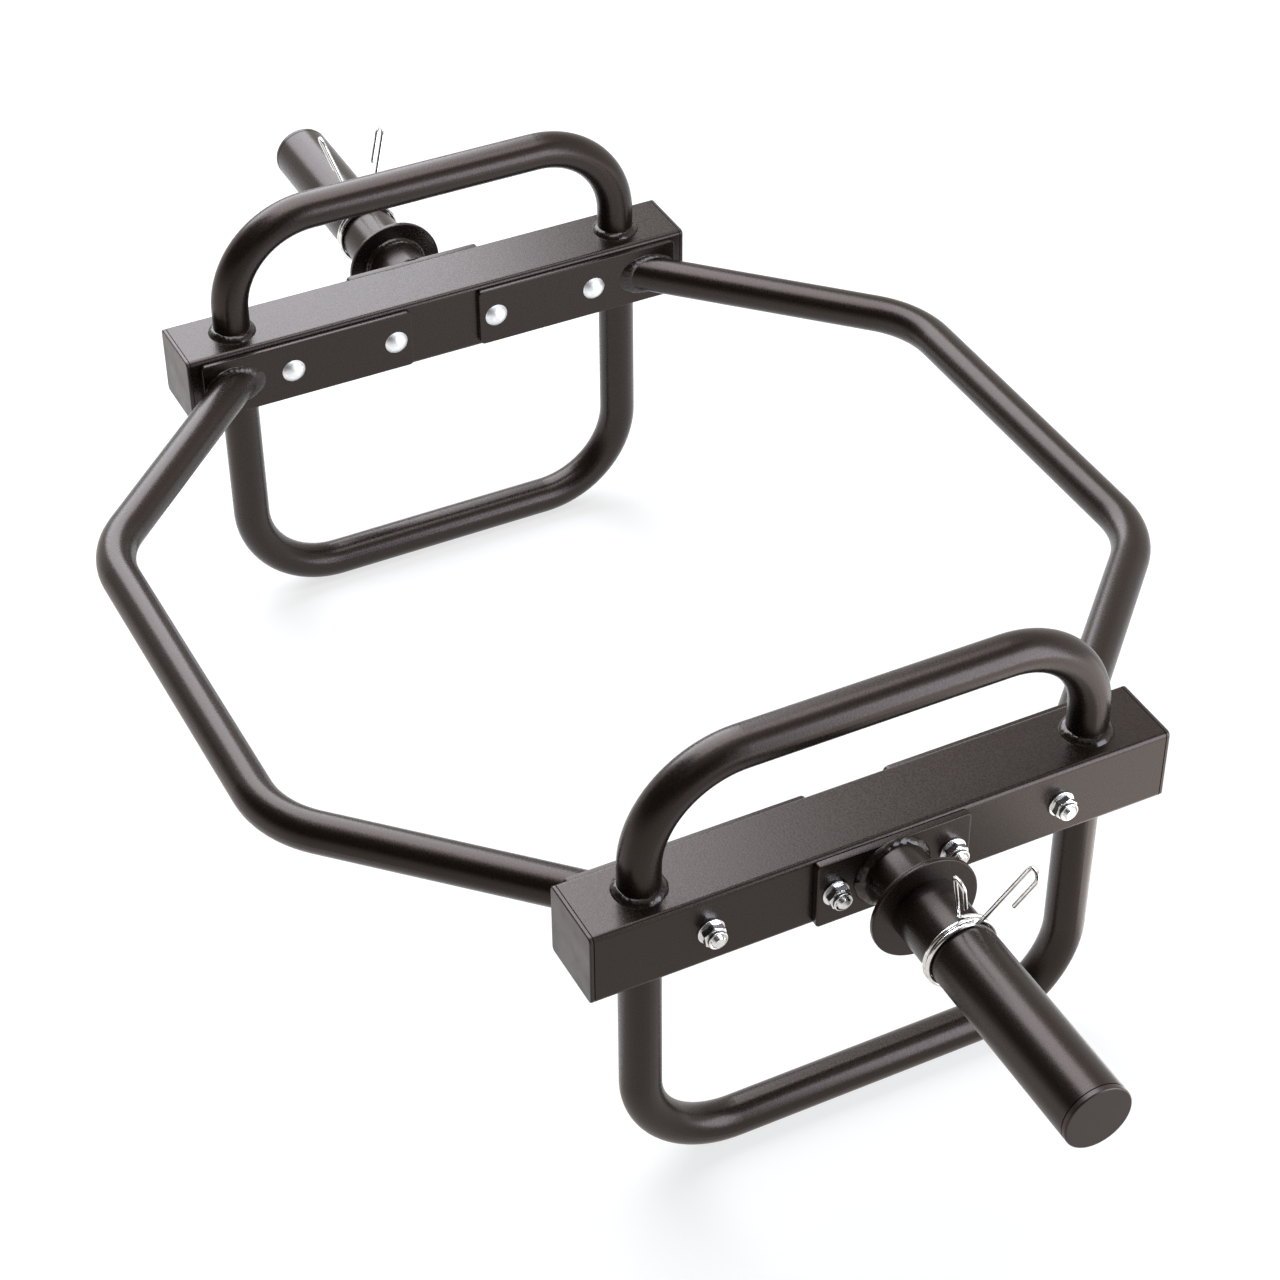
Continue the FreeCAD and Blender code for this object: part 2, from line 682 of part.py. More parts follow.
def foot_welds(side):
    """Beads round the feet of a beam's handle and loop."""
    beads = []
    feet = (
        ("handle", size.handle_span, size.handle_diameter, size.beam_height / 2, UPRIGHT),
        ("loop", size.loop_span, size.loop_diameter, size.beam_height / -2, HALF_TURN_X))
    for name, span, diameter, z, turn in feet:
        for sign in (1, -1):
            label = f"{side.name}_{name}_{end_name(side, sign)}_bead"
            bead = round_bead(label, diameter, size.foot_weld)
            beads.append(place(bead, side, y=span / 2 * sign, z=z, turn=turn))
    group(f"{side.name}_foot_welds", beads)


def rail_welds(name, world_sign):
    """Beads where both ends of a rail meet their plates."""
    beads = []
    for side in SIDES:
        sign = world_sign * side.sign
        label = f"{side.name}_{name}_rail_bead"
        bead = slanted_bead(label, size.rail_diameter, size.rail_weld, size.rail_angle)
        lean = Rotation(Y_AXIS * sign, Z_AXIS * -sign, X_AXIS * -1, "ZXY")
        beads.append(place(bead, side, x=rail_plate_face, y=rail_foot * sign, turn=lean))
    group(f"{name}_rail_welds", beads)


def sleeve_welds(side):
    """Beads at the root of a sleeve and behind its collar disc."""
    root = round_bead(f"{side.name}_root_bead", size.sleeve_diameter, size.sleeve_weld)
    place(root, side, x=sleeve_root, turn=Z_TO_X)
    back = round_bead(f"{side.name}_collar_bead", size.sleeve_diameter, size.collar_weld)
    place(back, side, x=collar_root, turn=Z_TO_MINUS_X)
    group(f"{side.name}_sleeve_welds", [root, back])


# Wire spring clips.

Arm = namedtuple("Arm", "knee along tip apex back end")


def tangent_arc(start, along, stop):
    """Arc that leaves a point along a direction and ends at another point."""
    chord = stop - start
    reach = chord.Length ** 2 / (2 * chord.dot(along))
    corner = start + along * reach
    weight = chord.Length / 2 / reach
    middle = (start + corner * (2 * weight) + stop) * (1 / (2 + 2 * weight))
    return Part.Arc(start, middle, stop)


def biarc(start, along, stop, stop_along):
    """Two arcs that join two points and keep a direction at each."""
    span = stop - start
    both = along + stop_along
    bend = 1 - along.dot(stop_along)
    pull = span.dot(both)
    reach = (math.sqrt(pull ** 2 + 2 * bend * span.dot(span)) - pull) / (2 * bend)
    joint = (start + stop + (along - stop_along) * reach) * 0.5
    second = tangent_arc(stop, stop_along * -1, joint)
    return [tangent_arc(start, along, joint), Part.Arc(joint, second.value(middle_of(second)), stop)]


def middle_of(curve):
    return (curve.FirstParameter + curve.LastParameter) / 2


def coil_point(angle, x):
    """Point on the coil's centre line, at degrees from upright towards Y."""
    radius = (size.sleeve_diameter / 2 + size.clip_clearance + size.clip_wire / 2).value
    return Vector(x, radius * math.sin(math.radians(angle)), radius * math.cos(math.radians(angle)))


def coil_direction(angle):
    """Direction along the coil as its angle grows."""
    radius = coil_point(0, 0).Length
    rise = clip_pitch.value / (2 * math.pi)
    direction = Vector(rise, radius * math.cos(math.radians(angle)), -radius * math.sin(math.radians(angle)))
    return direction.normalize()


def clip_arm(sign, x, lean, spread, rise):
    """Hairpin arm that rises from the top of the coil and leans outwards."""
    foot = coil_point(size.clip_top.value + sign * size.clip_foot.value, x)
    reach = Vector(lean.value, sign * spread.value, rise.value)
    along = Vector(reach).normalize()
    across = (X_AXIS - along * X_AXIS.dot(along)).normalize()
    half = size.clip_hairpin.value / 2
    tip = foot + reach
    back = tip + across * (2 * half)
    return Arm(
        foot + along * size.clip_knee.value, along, tip, tip + (along + across) * half, back,
        back - along * size.clip_return.value)


def clip_edges():
    """Centre line of a clip, from the free end of one arm to the free end of the other."""
    pitch = clip_pitch.value
    turns = int(size.clip_turns.value)
    top = size.clip_top.value
    first_x = pitch * turns / 2
    short = clip_arm(1, first_x, size.clip_short_lean, size.clip_short_spread, size.clip_short_rise)
    long = clip_arm(-1, -first_x, size.clip_long_lean, size.clip_long_spread, size.clip_long_rise)
    curves = [Part.LineSegment(short.end, short.back), Part.Arc(short.back, short.apex, short.tip)]
    curves.append(Part.LineSegment(short.tip, short.knee))
    curves += biarc(short.knee, short.along * -1, coil_point(top, first_x), coil_direction(top) * -1)
    for quarter in range(4 * turns):
        angles = [top - 90 * k for k in (quarter, quarter + 1)]
        ends = [coil_point(angle, first_x - pitch * (top - angle) / 360) for angle in angles]
        ways = [coil_direction(angle) * -1 for angle in angles]
        curves += biarc(ends[0], ways[0], ends[1], ways[1])
    curves += biarc(coil_point(top, -first_x), coil_direction(top) * -1, long.knee, long.along)
    curves.append(Part.LineSegment(long.knee, long.tip))
    curves += [Part.Arc(long.tip, long.apex, long.back), Part.LineSegment(long.back, long.end)]
    return [curve.toShape() for curve in curves]


def wire_gap(edges):
    """Least gap between stretches of the wire that lie at least one quarter turn apart along it."""
    points = []
    travel = 0.0
    for edge in edges:
        samples = edge.discretize(Number=WIRE_SAMPLES_PER_EDGE)
        for before, after in zip(samples, samples[1:]):
            points.append((travel, before))
            travel += (after - before).Length
    apart = coil_point(0, 0).Length * math.pi / 2
    closest = min(
        (one - other).Length
        for k, (at, one) in enumerate(points) for beyond, other in points[k + 1:] if beyond - at > apart)
    return closest - size.clip_wire.value


def tightest_bend(edges):
    """Smallest radius among the arcs of the wire."""
    return min(edge.Curve.Radius for edge in edges if hasattr(edge.Curve, "Radius"))


def spring_clip(side):
    """One unbroken wire: two hairpin arms and the coil between them."""
    edges = clip_edges()
    gap = wire_gap(edges)
    bend = tightest_bend(edges)
    print(f"{side.name} clip: least gap to itself {gap:.2f} mm, tightest bend {bend:.2f} mm")
    spine = Part.Wire(edges)
    start = edges[0].Vertexes[0].Point
    section = Part.Circle(start, edges[0].tangentAt(edges[0].FirstParameter), size.clip_wire.value / 2)
    clip = keep(doc.addObject("Part::Feature", f"{side.name}_spring_clip"), f"{side.name}_spring_clip")
    clip.Shape = spine.makePipeShell([Part.Wire(section.toShape())], True, False)
    place(clip, side, x=collar_face + side.clip_stand, turn=Rotation(X_AXIS, side.clip_spin.value))


def build():
    for side in SIDES:
        end_beam(side)
        upper_handle(side)
        lower_loop(side)
        for sign in (1, -1):
            beam_cap(side, sign)
            rail_plate(side, sign)
        sleeve_plate(side)
        sleeve_tube(side)
        collar_disc(side)
        sleeve_cap(side)
        fasteners(side)
        foot_welds(side)
        sleeve_welds(side)
        spring_clip(side)
    side_rail("front_rail", UPRIGHT)
    side_rail("rear_rail", HALF_TURN_Z)
    rail_welds("front", 1)
    rail_welds("rear", -1)
    doc.recompute()


def check():
    """Stops before anything is written if an object failed or a piece has no sound shape."""
    for item in doc.Objects:
        if "Invalid" in item.State or "Error" in item.State:
            raise RuntimeError(f"{item.Label} failed: {item.State}")
    for item in nodes:
        if item.Shape.isNull() or not item.Shape.isValid() or not item.Shape.Solids:
            raise RuntimeError(f"{item.Label} has no sound shape")


def write():
    os.makedirs("parts", exist_ok=True)
    for item in nodes:
        item.Shape.exportStep(f"parts/{item.Label}.step")
    print(f"{len(nodes)} pieces written")


build()
check()
write()
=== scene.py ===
"""Scene of a hex trap bar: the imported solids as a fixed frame, dressed and lit for the photograph's view."""

import json
import logging
import math
from collections.abc import Callable, Sequence
from dataclasses import dataclass
from enum import Enum

import bmesh
import bpy
from mathutils import Matrix, Vector

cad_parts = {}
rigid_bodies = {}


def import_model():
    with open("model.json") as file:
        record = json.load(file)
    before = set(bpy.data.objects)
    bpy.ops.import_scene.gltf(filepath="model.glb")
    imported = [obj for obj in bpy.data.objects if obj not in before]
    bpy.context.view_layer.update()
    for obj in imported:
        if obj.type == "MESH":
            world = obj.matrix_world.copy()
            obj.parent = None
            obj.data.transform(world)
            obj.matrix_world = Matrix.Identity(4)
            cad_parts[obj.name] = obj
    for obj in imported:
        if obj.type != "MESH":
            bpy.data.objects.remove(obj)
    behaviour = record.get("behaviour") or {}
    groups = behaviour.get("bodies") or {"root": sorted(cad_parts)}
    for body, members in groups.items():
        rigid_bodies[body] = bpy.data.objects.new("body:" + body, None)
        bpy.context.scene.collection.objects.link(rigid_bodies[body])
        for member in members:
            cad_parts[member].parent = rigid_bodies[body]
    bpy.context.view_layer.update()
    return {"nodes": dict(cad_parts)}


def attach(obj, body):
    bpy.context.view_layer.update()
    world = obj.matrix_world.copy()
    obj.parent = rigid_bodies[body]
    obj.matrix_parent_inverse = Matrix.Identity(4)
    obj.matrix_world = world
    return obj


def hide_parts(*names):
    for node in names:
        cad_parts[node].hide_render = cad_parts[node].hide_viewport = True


def clear_start_scene() -> None:
    """Removes the objects that Blender's own start scene holds."""
    for item in list(bpy.data.objects):
        bpy.data.objects.remove(item, do_unlink=True)


clear_start_scene()
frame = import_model()

log = logging.getLogger("trap_bar")

MILLIMETRE = 0.001
BEAM_CENTRE_Z = 246.0
Pair = tuple[float, float]
Point = tuple[float, float, float]
Colour = Point
Faces = list[tuple[int, ...]]
Ring = list[Vector]
Material = bpy.types.Material
Socket = bpy.types.NodeSocket


# Names that the frame and the record give.

class End(Enum):
    """Ends of the bar; the left end is the right end turned half round."""

    RIGHT = 0.0
    LEFT = math.pi

    @property
    def title(self) -> str:
        """First word of this end's node names."""
        return self.name.lower()

    @property
    def turn(self) -> Matrix:
        """Turn that carries the right end's places to this end."""
        return Matrix.Rotation(self.value, 4, "Z")

    def flank(self, sign: int) -> str:
        """Name of the bar's side that lies towards the sign of this end's own Y."""
        return "front" if (sign > 0) == (self is End.RIGHT) else "rear"


class Body(Enum):
    """Bodies that pieces ride on."""

    BAR = "bar"
    RIGHT_CLIP = "right_clip"
    LEFT_CLIP = "left_clip"


class Slot(Enum):
    """Material slots of the record."""

    COAT = "black_coat"
    BEAD = "coated_bead"
    PLASTIC = "cap_plastic"
    ZINC = "zinc_steel"
    WIRE = "spring_wire"


# Finishes.

class Wiring:
    """Node tree of one material, filled step by step."""

    def __init__(self, name: str, **constants: float | Colour) -> None:
        """Starts an empty tree with one principled shader and object coordinates.

        Args:
            name: Name of the material.
            constants: Values for the shader's own sockets.
        """
        self.material = bpy.data.materials.new(name)
        self.material.use_nodes = True
        self.tree = self.material.node_tree
        self.tree.nodes.clear()
        self.shader = self.add("ShaderNodeBsdfPrincipled", **constants)
        output = self.add("ShaderNodeOutputMaterial")
        self.join(self.shader.outputs["BSDF"], output.inputs["Surface"])
        self.place = self.add("ShaderNodeTexCoord").outputs["Object"]

    def add(self, kind: str, **values: float | Colour) -> bpy.types.Node:
        """Adds a node.

        Args:
            kind: Type of the node.
            values: Socket names, with underscores for spaces, and their values.

        Returns:
            The node.
        """
        node = self.tree.nodes.new(kind)
        for name, value in values.items():
            socket = node.inputs[name.replace("_", " ")]
            socket.default_value = (*value, 1.0) if isinstance(value, tuple) else value
        return node

    def join(self, source: Socket, target: Socket) -> None:
        """Links two sockets."""
        self.tree.links.new(source, target)

    def drive(self, name: str, source: Socket) -> None:
        """Links a source to one of the shader's own sockets."""
        self.join(source, self.shader.inputs[name])

    def noise(self, scale: float, detail: float = 2.0, roughness: float = 0.5) -> Socket:
        """Adds a noise over the piece's own coordinates.

        Args:
            scale: Patches per metre.
            detail: Octaves.
            roughness: Weight of the finer octaves.

        Returns:
            The noise's factor.
        """
        node = self.add("ShaderNodeTexNoise", Scale=scale, Detail=detail, Roughness=roughness)
        self.join(self.place, node.inputs["Vector"])
        return node.outputs[0]

    def spread(self, source: Socket, low: float, high: float) -> Socket:
        """Maps the middle of a noise's range to a range of values.

        Args:
            source: Factor to map.
            low: Value that factors up to 0.3 give.
            high: Value that factors from 0.7 give.

        Returns:
            The mapped value.
        """
        node = self.add("ShaderNodeMapRange", From_Min=0.3, From_Max=0.7, To_Min=low, To_Max=high)
        self.join(source, node.inputs["Value"])
        return node.outputs["Result"]

    def tint(self, source: Socket, tones: Sequence[tuple[float, Colour]]) -> None:
        """Colours the surface by a factor along a ramp.

        Args:
            source: Factor to follow.
            tones: Places along the ramp and their colours.
        """
        node = self.add("ShaderNodeValToRGB")
        ramp = node.color_ramp
        while len(ramp.elements) < len(tones):
            ramp.elements.new(0.5)
        for element, (place, colour) in zip(ramp.elements, tones):
            element.position = place
            element.color = (*colour, 1.0)
        self.join(source, node.inputs["Fac"])
        self.drive("Base Color", node.outputs["Color"])

    def relief(self, height: Socket, strength: float, depth: float) -> None:
        """Adds a bump under the bumps that are already there.

        Args:
            height: Height factor.
            strength: Share of the bump that is used.
            depth: Depth in metres.
        """
        node = self.add("ShaderNodeBump", Strength=strength, Distance=depth)
        self.join(height, node.inputs["Height"])
        normal = self.shader.inputs["Normal"]
        if normal.is_linked:
            self.join(normal.links[0].from_socket, node.inputs["Normal"])
        self.join(node.outputs["Normal"], normal)


@dataclass(frozen=True)
class PowderCoat:
    """Satin black powder coat with a fine orange peel."""

    name: str = "satin_black_powder_coat"
    dark: Colour = (0.004, 0.0024, 0.0015)
    light: Colour = (0.008, 0.005, 0.0032)
    sheen: Colour = (1.0, 0.83, 0.77)
    gloss: float = 0.48
    roughness: Pair = (0.24, 0.33)
    speckle_scale: float = 1500.0
    grain_scale: float = 640.0
    peel: float = 0.11
    peel_depth: float = 0.00034

    def make(self) -> Material:
        """Makes the material.

        Returns:
            The material.
        """
        wiring = Wiring(self.name, IOR=1.5, Specular_IOR_Level=self.gloss, Specular_Tint=self.sheen)
        speckle = wiring.noise(self.speckle_scale, 3.0, 0.6)
        grain = wiring.noise(self.grain_scale, 1.0)
        wiring.tint(speckle, ((0.32, self.dark), (0.55, self.light), (0.72, self.dark)))
        wiring.drive("Roughness", wiring.spread(grain, *self.roughness))
        wiring.relief(grain, self.peel, self.peel_depth)
        return wiring.material


@dataclass(frozen=True)
class BeadCoat:
    """The same coat, thick and glossy where it has run over a weld."""

    name: str = "glossy_black_bead_coat"
    dark: Colour = (0.0062, 0.0038, 0.0025)
    light: Colour = (0.012, 0.0076, 0.005)
    sheen: Colour = (1.0, 0.9, 0.86)
    roughness: Pair = (0.17, 0.28)
    lump_scale: float = 420.0
    lump_depth: float = 0.0005
    fine_scale: float = 1700.0
    fine_depth: float = 0.00012

    def make(self) -> Material:
        """Makes the material.

        Returns:
            The material.
        """
        wiring = Wiring(self.name, IOR=1.5, Specular_IOR_Level=0.46, Specular_Tint=self.sheen,
                        Coat_Weight=0.14, Coat_Roughness=0.06)
        lumps = wiring.noise(self.lump_scale, 3.0, 0.55)
        wiring.tint(lumps, ((0.35, self.dark), (0.65, self.light)))
        wiring.drive("Roughness", wiring.spread(lumps, *self.roughness))
        wiring.relief(lumps, 0.35, self.lump_depth)
        wiring.relief(wiring.noise(self.fine_scale, 2.0), 0.12, self.fine_depth)
        return wiring.material


@dataclass(frozen=True)
class CapPlastic:
    """Moulded black plastic with a fine spark grain."""

    name: str = "moulded_black_plastic"
    dark: Colour = (0.013, 0.0094, 0.008)
    light: Colour = (0.022, 0.0162, 0.014)
    sheen: Colour = (1.0, 0.84, 0.79)
    roughness: Pair = (0.28, 0.38)
    cloud_scale: float = 60.0
    grain_scale: float = 2100.0
    grain_depth: float = 0.00012

    def make(self) -> Material:
        """Makes the material.

        Returns:
            The material.
        """
        wiring = Wiring(self.name, IOR=1.49, Specular_IOR_Level=0.55, Specular_Tint=self.sheen)
        grain = wiring.noise(self.grain_scale, 2.0, 0.65)
        wiring.tint(grain, ((0.35, self.dark), (0.65, self.light)))
        wiring.drive("Roughness", wiring.spread(wiring.noise(self.cloud_scale, 3.0), *self.roughness))
        wiring.relief(grain, 0.16, self.grain_depth)
        return wiring.material


@dataclass(frozen=True)
class ZincPlate:
    """Bright zinc plate, a little clouded, and duller where a mesh is marked."""

    name: str = "bright_zinc_plate"
    dark: Colour = (0.8, 0.82, 0.84)
    light: Colour = (0.95, 0.96, 0.97)
    bright: Pair = (0.24, 0.13)
    dull: Pair = (0.48, 0.38)
    dull_mark: str = "dull_head"
    cloud_scale: float = 260.0
    fine_scale: float = 1400.0
    fine_depth: float = 0.0001

    def make(self) -> Material:
        """Makes the material.

        Returns:
            The material.
        """
        wiring = Wiring(self.name, Metallic=1.0)
        cloud = wiring.noise(self.cloud_scale, 4.0, 0.6)
        wiring.tint(cloud, ((0.3, self.dark), (0.62, self.light)))
        mark = wiring.add("ShaderNodeAttribute")
        mark.attribute_name = self.dull_mark
        choice = wiring.add("ShaderNodeMapRange")
        wiring.join(mark.outputs["Fac"], choice.inputs["Value"])
        wiring.join(wiring.spread(cloud, *self.bright), choice.inputs["To Min"])
        wiring.join(wiring.spread(cloud, *self.dull), choice.inputs["To Max"])
        wiring.drive("Roughness", choice.outputs["Result"])
        wiring.relief(wiring.noise(self.fine_scale, 3.0), 0.05, self.fine_depth)
        return wiring.material


@dataclass(frozen=True)
class SpringWire:
    """Bright drawn spring wire with faint lines along it."""

    name: str = "bright_spring_wire"
    dark: Colour = (0.7, 0.7, 0.69)
    light: Colour = (0.93, 0.93, 0.92)
    roughness: Pair = (0.14, 0.06)
    attribute: str = "round_wire"
    cloud_scale: float = 180.0
    line_depth: float = 0.0001

    def make(self) -> Material:
        """Makes the material.

        Returns:
            The material.
        """
        wiring = Wiring(self.name, Metallic=1.0)
        cloud = wiring.noise(self.cloud_scale, 4.0, 0.6)
        wiring.tint(cloud, ((0.3, self.dark), (0.6, self.light)))
        wiring.drive("Roughness", wiring.spread(cloud, *self.roughness))
        lines = wiring.add("ShaderNodeAttribute")
        lines.attribute_name = self.attribute
        drawn = wiring.add("ShaderNodeTexNoise", Scale=1.0)
        wiring.join(lines.outputs["Vector"], drawn.inputs["Vector"])
        wiring.relief(drawn.outputs[0], 0.03, self.line_depth)
        return wiring.material


class Finishes:
    """Made finishes by record slot."""

    def __init__(self) -> None:
        """Makes every finish once."""
        finishes = {Slot.COAT: PowderCoat(), Slot.BEAD: BeadCoat(), Slot.PLASTIC: CapPlastic(),
                    Slot.ZINC: ZincPlate(), Slot.WIRE: SpringWire()}
        self.materials: dict[Slot, Material] = {slot: finish.make() for slot, finish in finishes.items()}
        self.smooth_coat = PowderCoat("smooth_black_powder_coat", roughness=(0.26, 0.31), peel=0.05).make()

    def dress_node(self, node: str, smooth: bool = False) -> None:
        """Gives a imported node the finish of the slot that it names.

        Args:
            node: Name of the node.
            smooth: Whether its coat lies smooth, almost without peel.
        """
        for place in frame["nodes"][node].material_slots:
            slot = Slot(place.material.name.split(".")[0])
            place.material = self.smooth_coat if smooth and slot is Slot.COAT else self.materials[slot]


# Mesh making.

class Draft:
    """Mesh in millimetres, gathered shape by shape, that becomes one piece."""

    def __init__(self, turn: Matrix) -> None:
        """Starts an empty mesh.

        Args:
            turn: Turn of the end that the piece belongs to.
        """
        self.turn = turn
        self.points: list[Vector] = []
        self.faces: Faces = []
        self.marks: list[Point] = []

    def skin(self, rings: Sequence[Ring], place: Matrix, closed: bool = False,
             marks: Sequence[Sequence[Point]] | None = None) -> None:
        """Joins rings of equal count with quads, and fills the first and last ring of an open shape.

        Args:
            rings: Rings in order along the shape.
            place: Place of the shape within the end.
            closed: Whether the last ring joins the first.
            marks: Mark of each point, ring by ring, for its finish to read.
        """
        start = len(self.points)
        count = len(rings[0])
        for number, ring in enumerate(rings):
            self.points += [place @ point for point in ring]
            self.marks += marks[number] if marks else [(0.0, 0.0, 0.0)] * count
        for first in range(len(rings) if closed else len(rings) - 1):
            here = start + first * count
            there = start + (first + 1) % len(rings) * count
            for step in range(count):
                after = (step + 1) % count
                self.faces.append((here + step, here + after, there + after, there + step))
        if not closed:
            last = start + (len(rings) - 1) * count
            self.faces.append(tuple(range(start + count - 1, start - 1, -1)))
            self.faces.append(tuple(range(last, last + count)))

    def piece(self, node: str, ending: str, slot: Slot, finishes: Finishes, body: Body = Body.BAR,
              crease: float = 38.0, attribute: str = "") -> None:
        """Makes the object, dresses it and puts it on its body.

        Args:
            node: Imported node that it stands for.
            ending: Last word of its name, after the node's.
            slot: Slot whose finish it takes.
            finishes: Made finishes.
            body: Body that it rides on.
            crease: Degrees from which an edge stays sharp.
            attribute: Name under which the marks are kept.
        """
        name = f"{node}_{ending}"
        mesh = bpy.data.meshes.new(name)
        points = [self.turn @ point * MILLIMETRE for point in self.points]
        mesh.from_pydata(points, [], self.faces)
        if attribute:
            layer = mesh.attributes.new(attribute, "FLOAT_VECTOR", "POINT")
            layer.data.foreach_set("vector", [number for mark in self.marks for number in mark])
        shape = bmesh.new()
        shape.from_mesh(mesh)
        bmesh.ops.recalc_face_normals(shape, faces=shape.faces)
        shape.to_mesh(mesh)
        shape.free()
        mesh.shade_smooth()
        mesh.set_sharp_from_angle(angle=math.radians(crease))
        mesh.materials.append(finishes.materials[slot])
        item = bpy.data.objects.new(name, mesh)
        bpy.context.scene.collection.objects.link(item)
        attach(item, body.value)
        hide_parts(node)
        log.info("%s: %d faces", name, len(mesh.polygons))


def along_x(x: float, y: float = 0.0) -> Matrix:
    """Returns the place of a shape whose axis runs along X at the beams' height."""
    return Matrix.Translation((x, y, BEAM_CENTRE_Z))


def ring_about_x(x: float, radius: Callable[[float], float], steps: int) -> Ring:
    """Ring of points round the X axis.

    Args:
        x: Place along the axis.
        radius: Radius at an angle.
        steps: Points in the ring.

    Returns:
        The ring.
    """
    angles = [math.tau * step / steps for step in range(steps)]
    return [Vector((x, radius(a) * math.cos(a), radius(a) * math.sin(a))) for a in angles]


def turned(profile: Sequence[Pair], steps: int = 64) -> list[Ring]:
    """Rings of a profile turned about the X axis.

    Args:
        profile: Places along the axis and their radii.
        steps: Points in each ring.

    Returns:
        One ring for each place.
    """
    return [ring_about_x(x, lambda _, r=radius: r, steps) for x, radius in profile]


def rounded_corner(centre: Pair, radius: float, start: float, stop: float,
                   steps: int = 4) -> list[Pair]:
    """Points of an arc in a profile, angles in degrees from the first axis.

    Args:
        centre: Centre of the arc.
        radius: Radius of the arc.
        start: First angle.
        stop: Last angle.
        steps: Spans along the arc.

    Returns:
        The points, both ends included.
    """
    angles = [math.radians(start + (stop - start) * step / steps) for step in range(steps + 1)]
    return [(centre[0] + radius * math.cos(a), centre[1] + radius * math.sin(a)) for a in angles]


def rounded_outline(width: float, height: float, corner: float, steps: int = 6) -> list[Pair]:
    """Outline of a rectangle with round corners, centred on zero.

    Args:
        width: First size.
        height: Second size.
        corner: Corner radius.
        steps: Spans along each corner.

    Returns:
        The points in order.
    """
    x, y = width / 2 - corner, height / 2 - corner
    corners = ((x, y, 0), (-x, y, 90), (-x, -y, 180), (x, -y, 270))
    return [point for cx, cy, start in corners
            for point in rounded_corner((cx, cy), corner, start, start + 90, steps)]


# Sub-assemblies, in millimetres and degrees.

@dataclass
class CoatedFrame:
    """Beams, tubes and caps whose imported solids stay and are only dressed."""

    end_pieces: tuple[str, ...] = (
        "beam", "upper_handle", "lower_loop", "sleeve_tube", "front_beam_cap", "rear_beam_cap", "sleeve_cap")
    shared_pieces: tuple[str, ...] = ("front_rail", "rear_rail")

    def dress(self, finishes: Finishes) -> None:
        """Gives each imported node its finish.

        Args:
            finishes: Made finishes.
        """
        nodes = [f"{end.title}_{name}" for end in End for name in self.end_pieces]
        for node in (*nodes, *self.shared_pieces):
            finishes.dress_node(node, node.endswith("sleeve_tube"))
            log.info("%s: dressed", node)


@dataclass
class FlatPlates:
    """Plates bolted to a beam and the disc on its sleeve, with softly broken edges."""

    edge: float = 0.7
    edge_band: float = 1.68
    rail_plate: Point = (185.0, 52.0, 5.0)
    rail_plate_corner: float = 4.0
    rail_plate_face: float = 337.0
    rail_plate_middle: float = 123.5
    sleeve_plate: Point = (120.0, 56.0, 6.0)
    sleeve_plate_corner: float = 3.0
    sleeve_plate_back: float = 402.0
    disc_radius: float = 41.0
    disc_bore: float = 25.05
    disc_back: float = 445.5
    disc_thickness: float = 4.0
    disc_sides: int = 128

    def slab(self, sizes: Point, corner: float) -> list[Ring]:
        """Rings of a plate that lies across X, from its low face to its high one.

        Args:
            sizes: Sizes along Y, Z and X.
            corner: Corner radius of the outline.

        Returns:
            The rings.
        """
        width, height, thickness = sizes
        edge = self.edge
        low = rounded_corner((edge, edge), edge, 270, 180)
        high = rounded_corner((edge, thickness - edge), edge, 180, 90)
        stations = [(self.edge_band, 0.0), *low, *high, (self.edge_band, thickness)]
        return [[Vector((x, y, z)) for y, z in
                 rounded_outline(width - 2 * inset, height - 2 * inset, corner - inset)]
                for inset, x in stations]

    def build(self, end: End, finishes: Finishes) -> None:
        """Builds the plates and the disc of one end.

        Args:
            end: End of the bar.
            finishes: Made finishes.
        """
        shapes = [(f"{end.flank(sign)}_rail_plate", self.slab(self.rail_plate, self.rail_plate_corner),
                   along_x(self.rail_plate_face, self.rail_plate_middle * sign), False) for sign in (1, -1)]
        shapes.append(("sleeve_plate", self.slab(self.sleeve_plate, self.sleeve_plate_corner),
                       along_x(self.sleeve_plate_back), False))
        edge, rim, thickness = self.edge, self.disc_radius, self.disc_thickness
        low = rounded_corner((edge, rim - edge), edge, 180, 90)
        high = rounded_corner((thickness - edge, rim - edge), edge, 90, 0)
        profile = [(0.0, self.disc_bore), (0.0, rim - self.edge_band), *low, *high,
                   (thickness, rim - self.edge_band), (thickness, self.disc_bore)]
        shapes.append(("collar_disc", turned(profile, self.disc_sides), along_x(self.disc_back), True))
        for name, rings, place, closed in shapes:
            draft = Draft(end.turn)
            draft.skin(rings, place, closed)
            draft.piece(f"{end.title}_{name}", "coated", Slot.COAT, finishes)


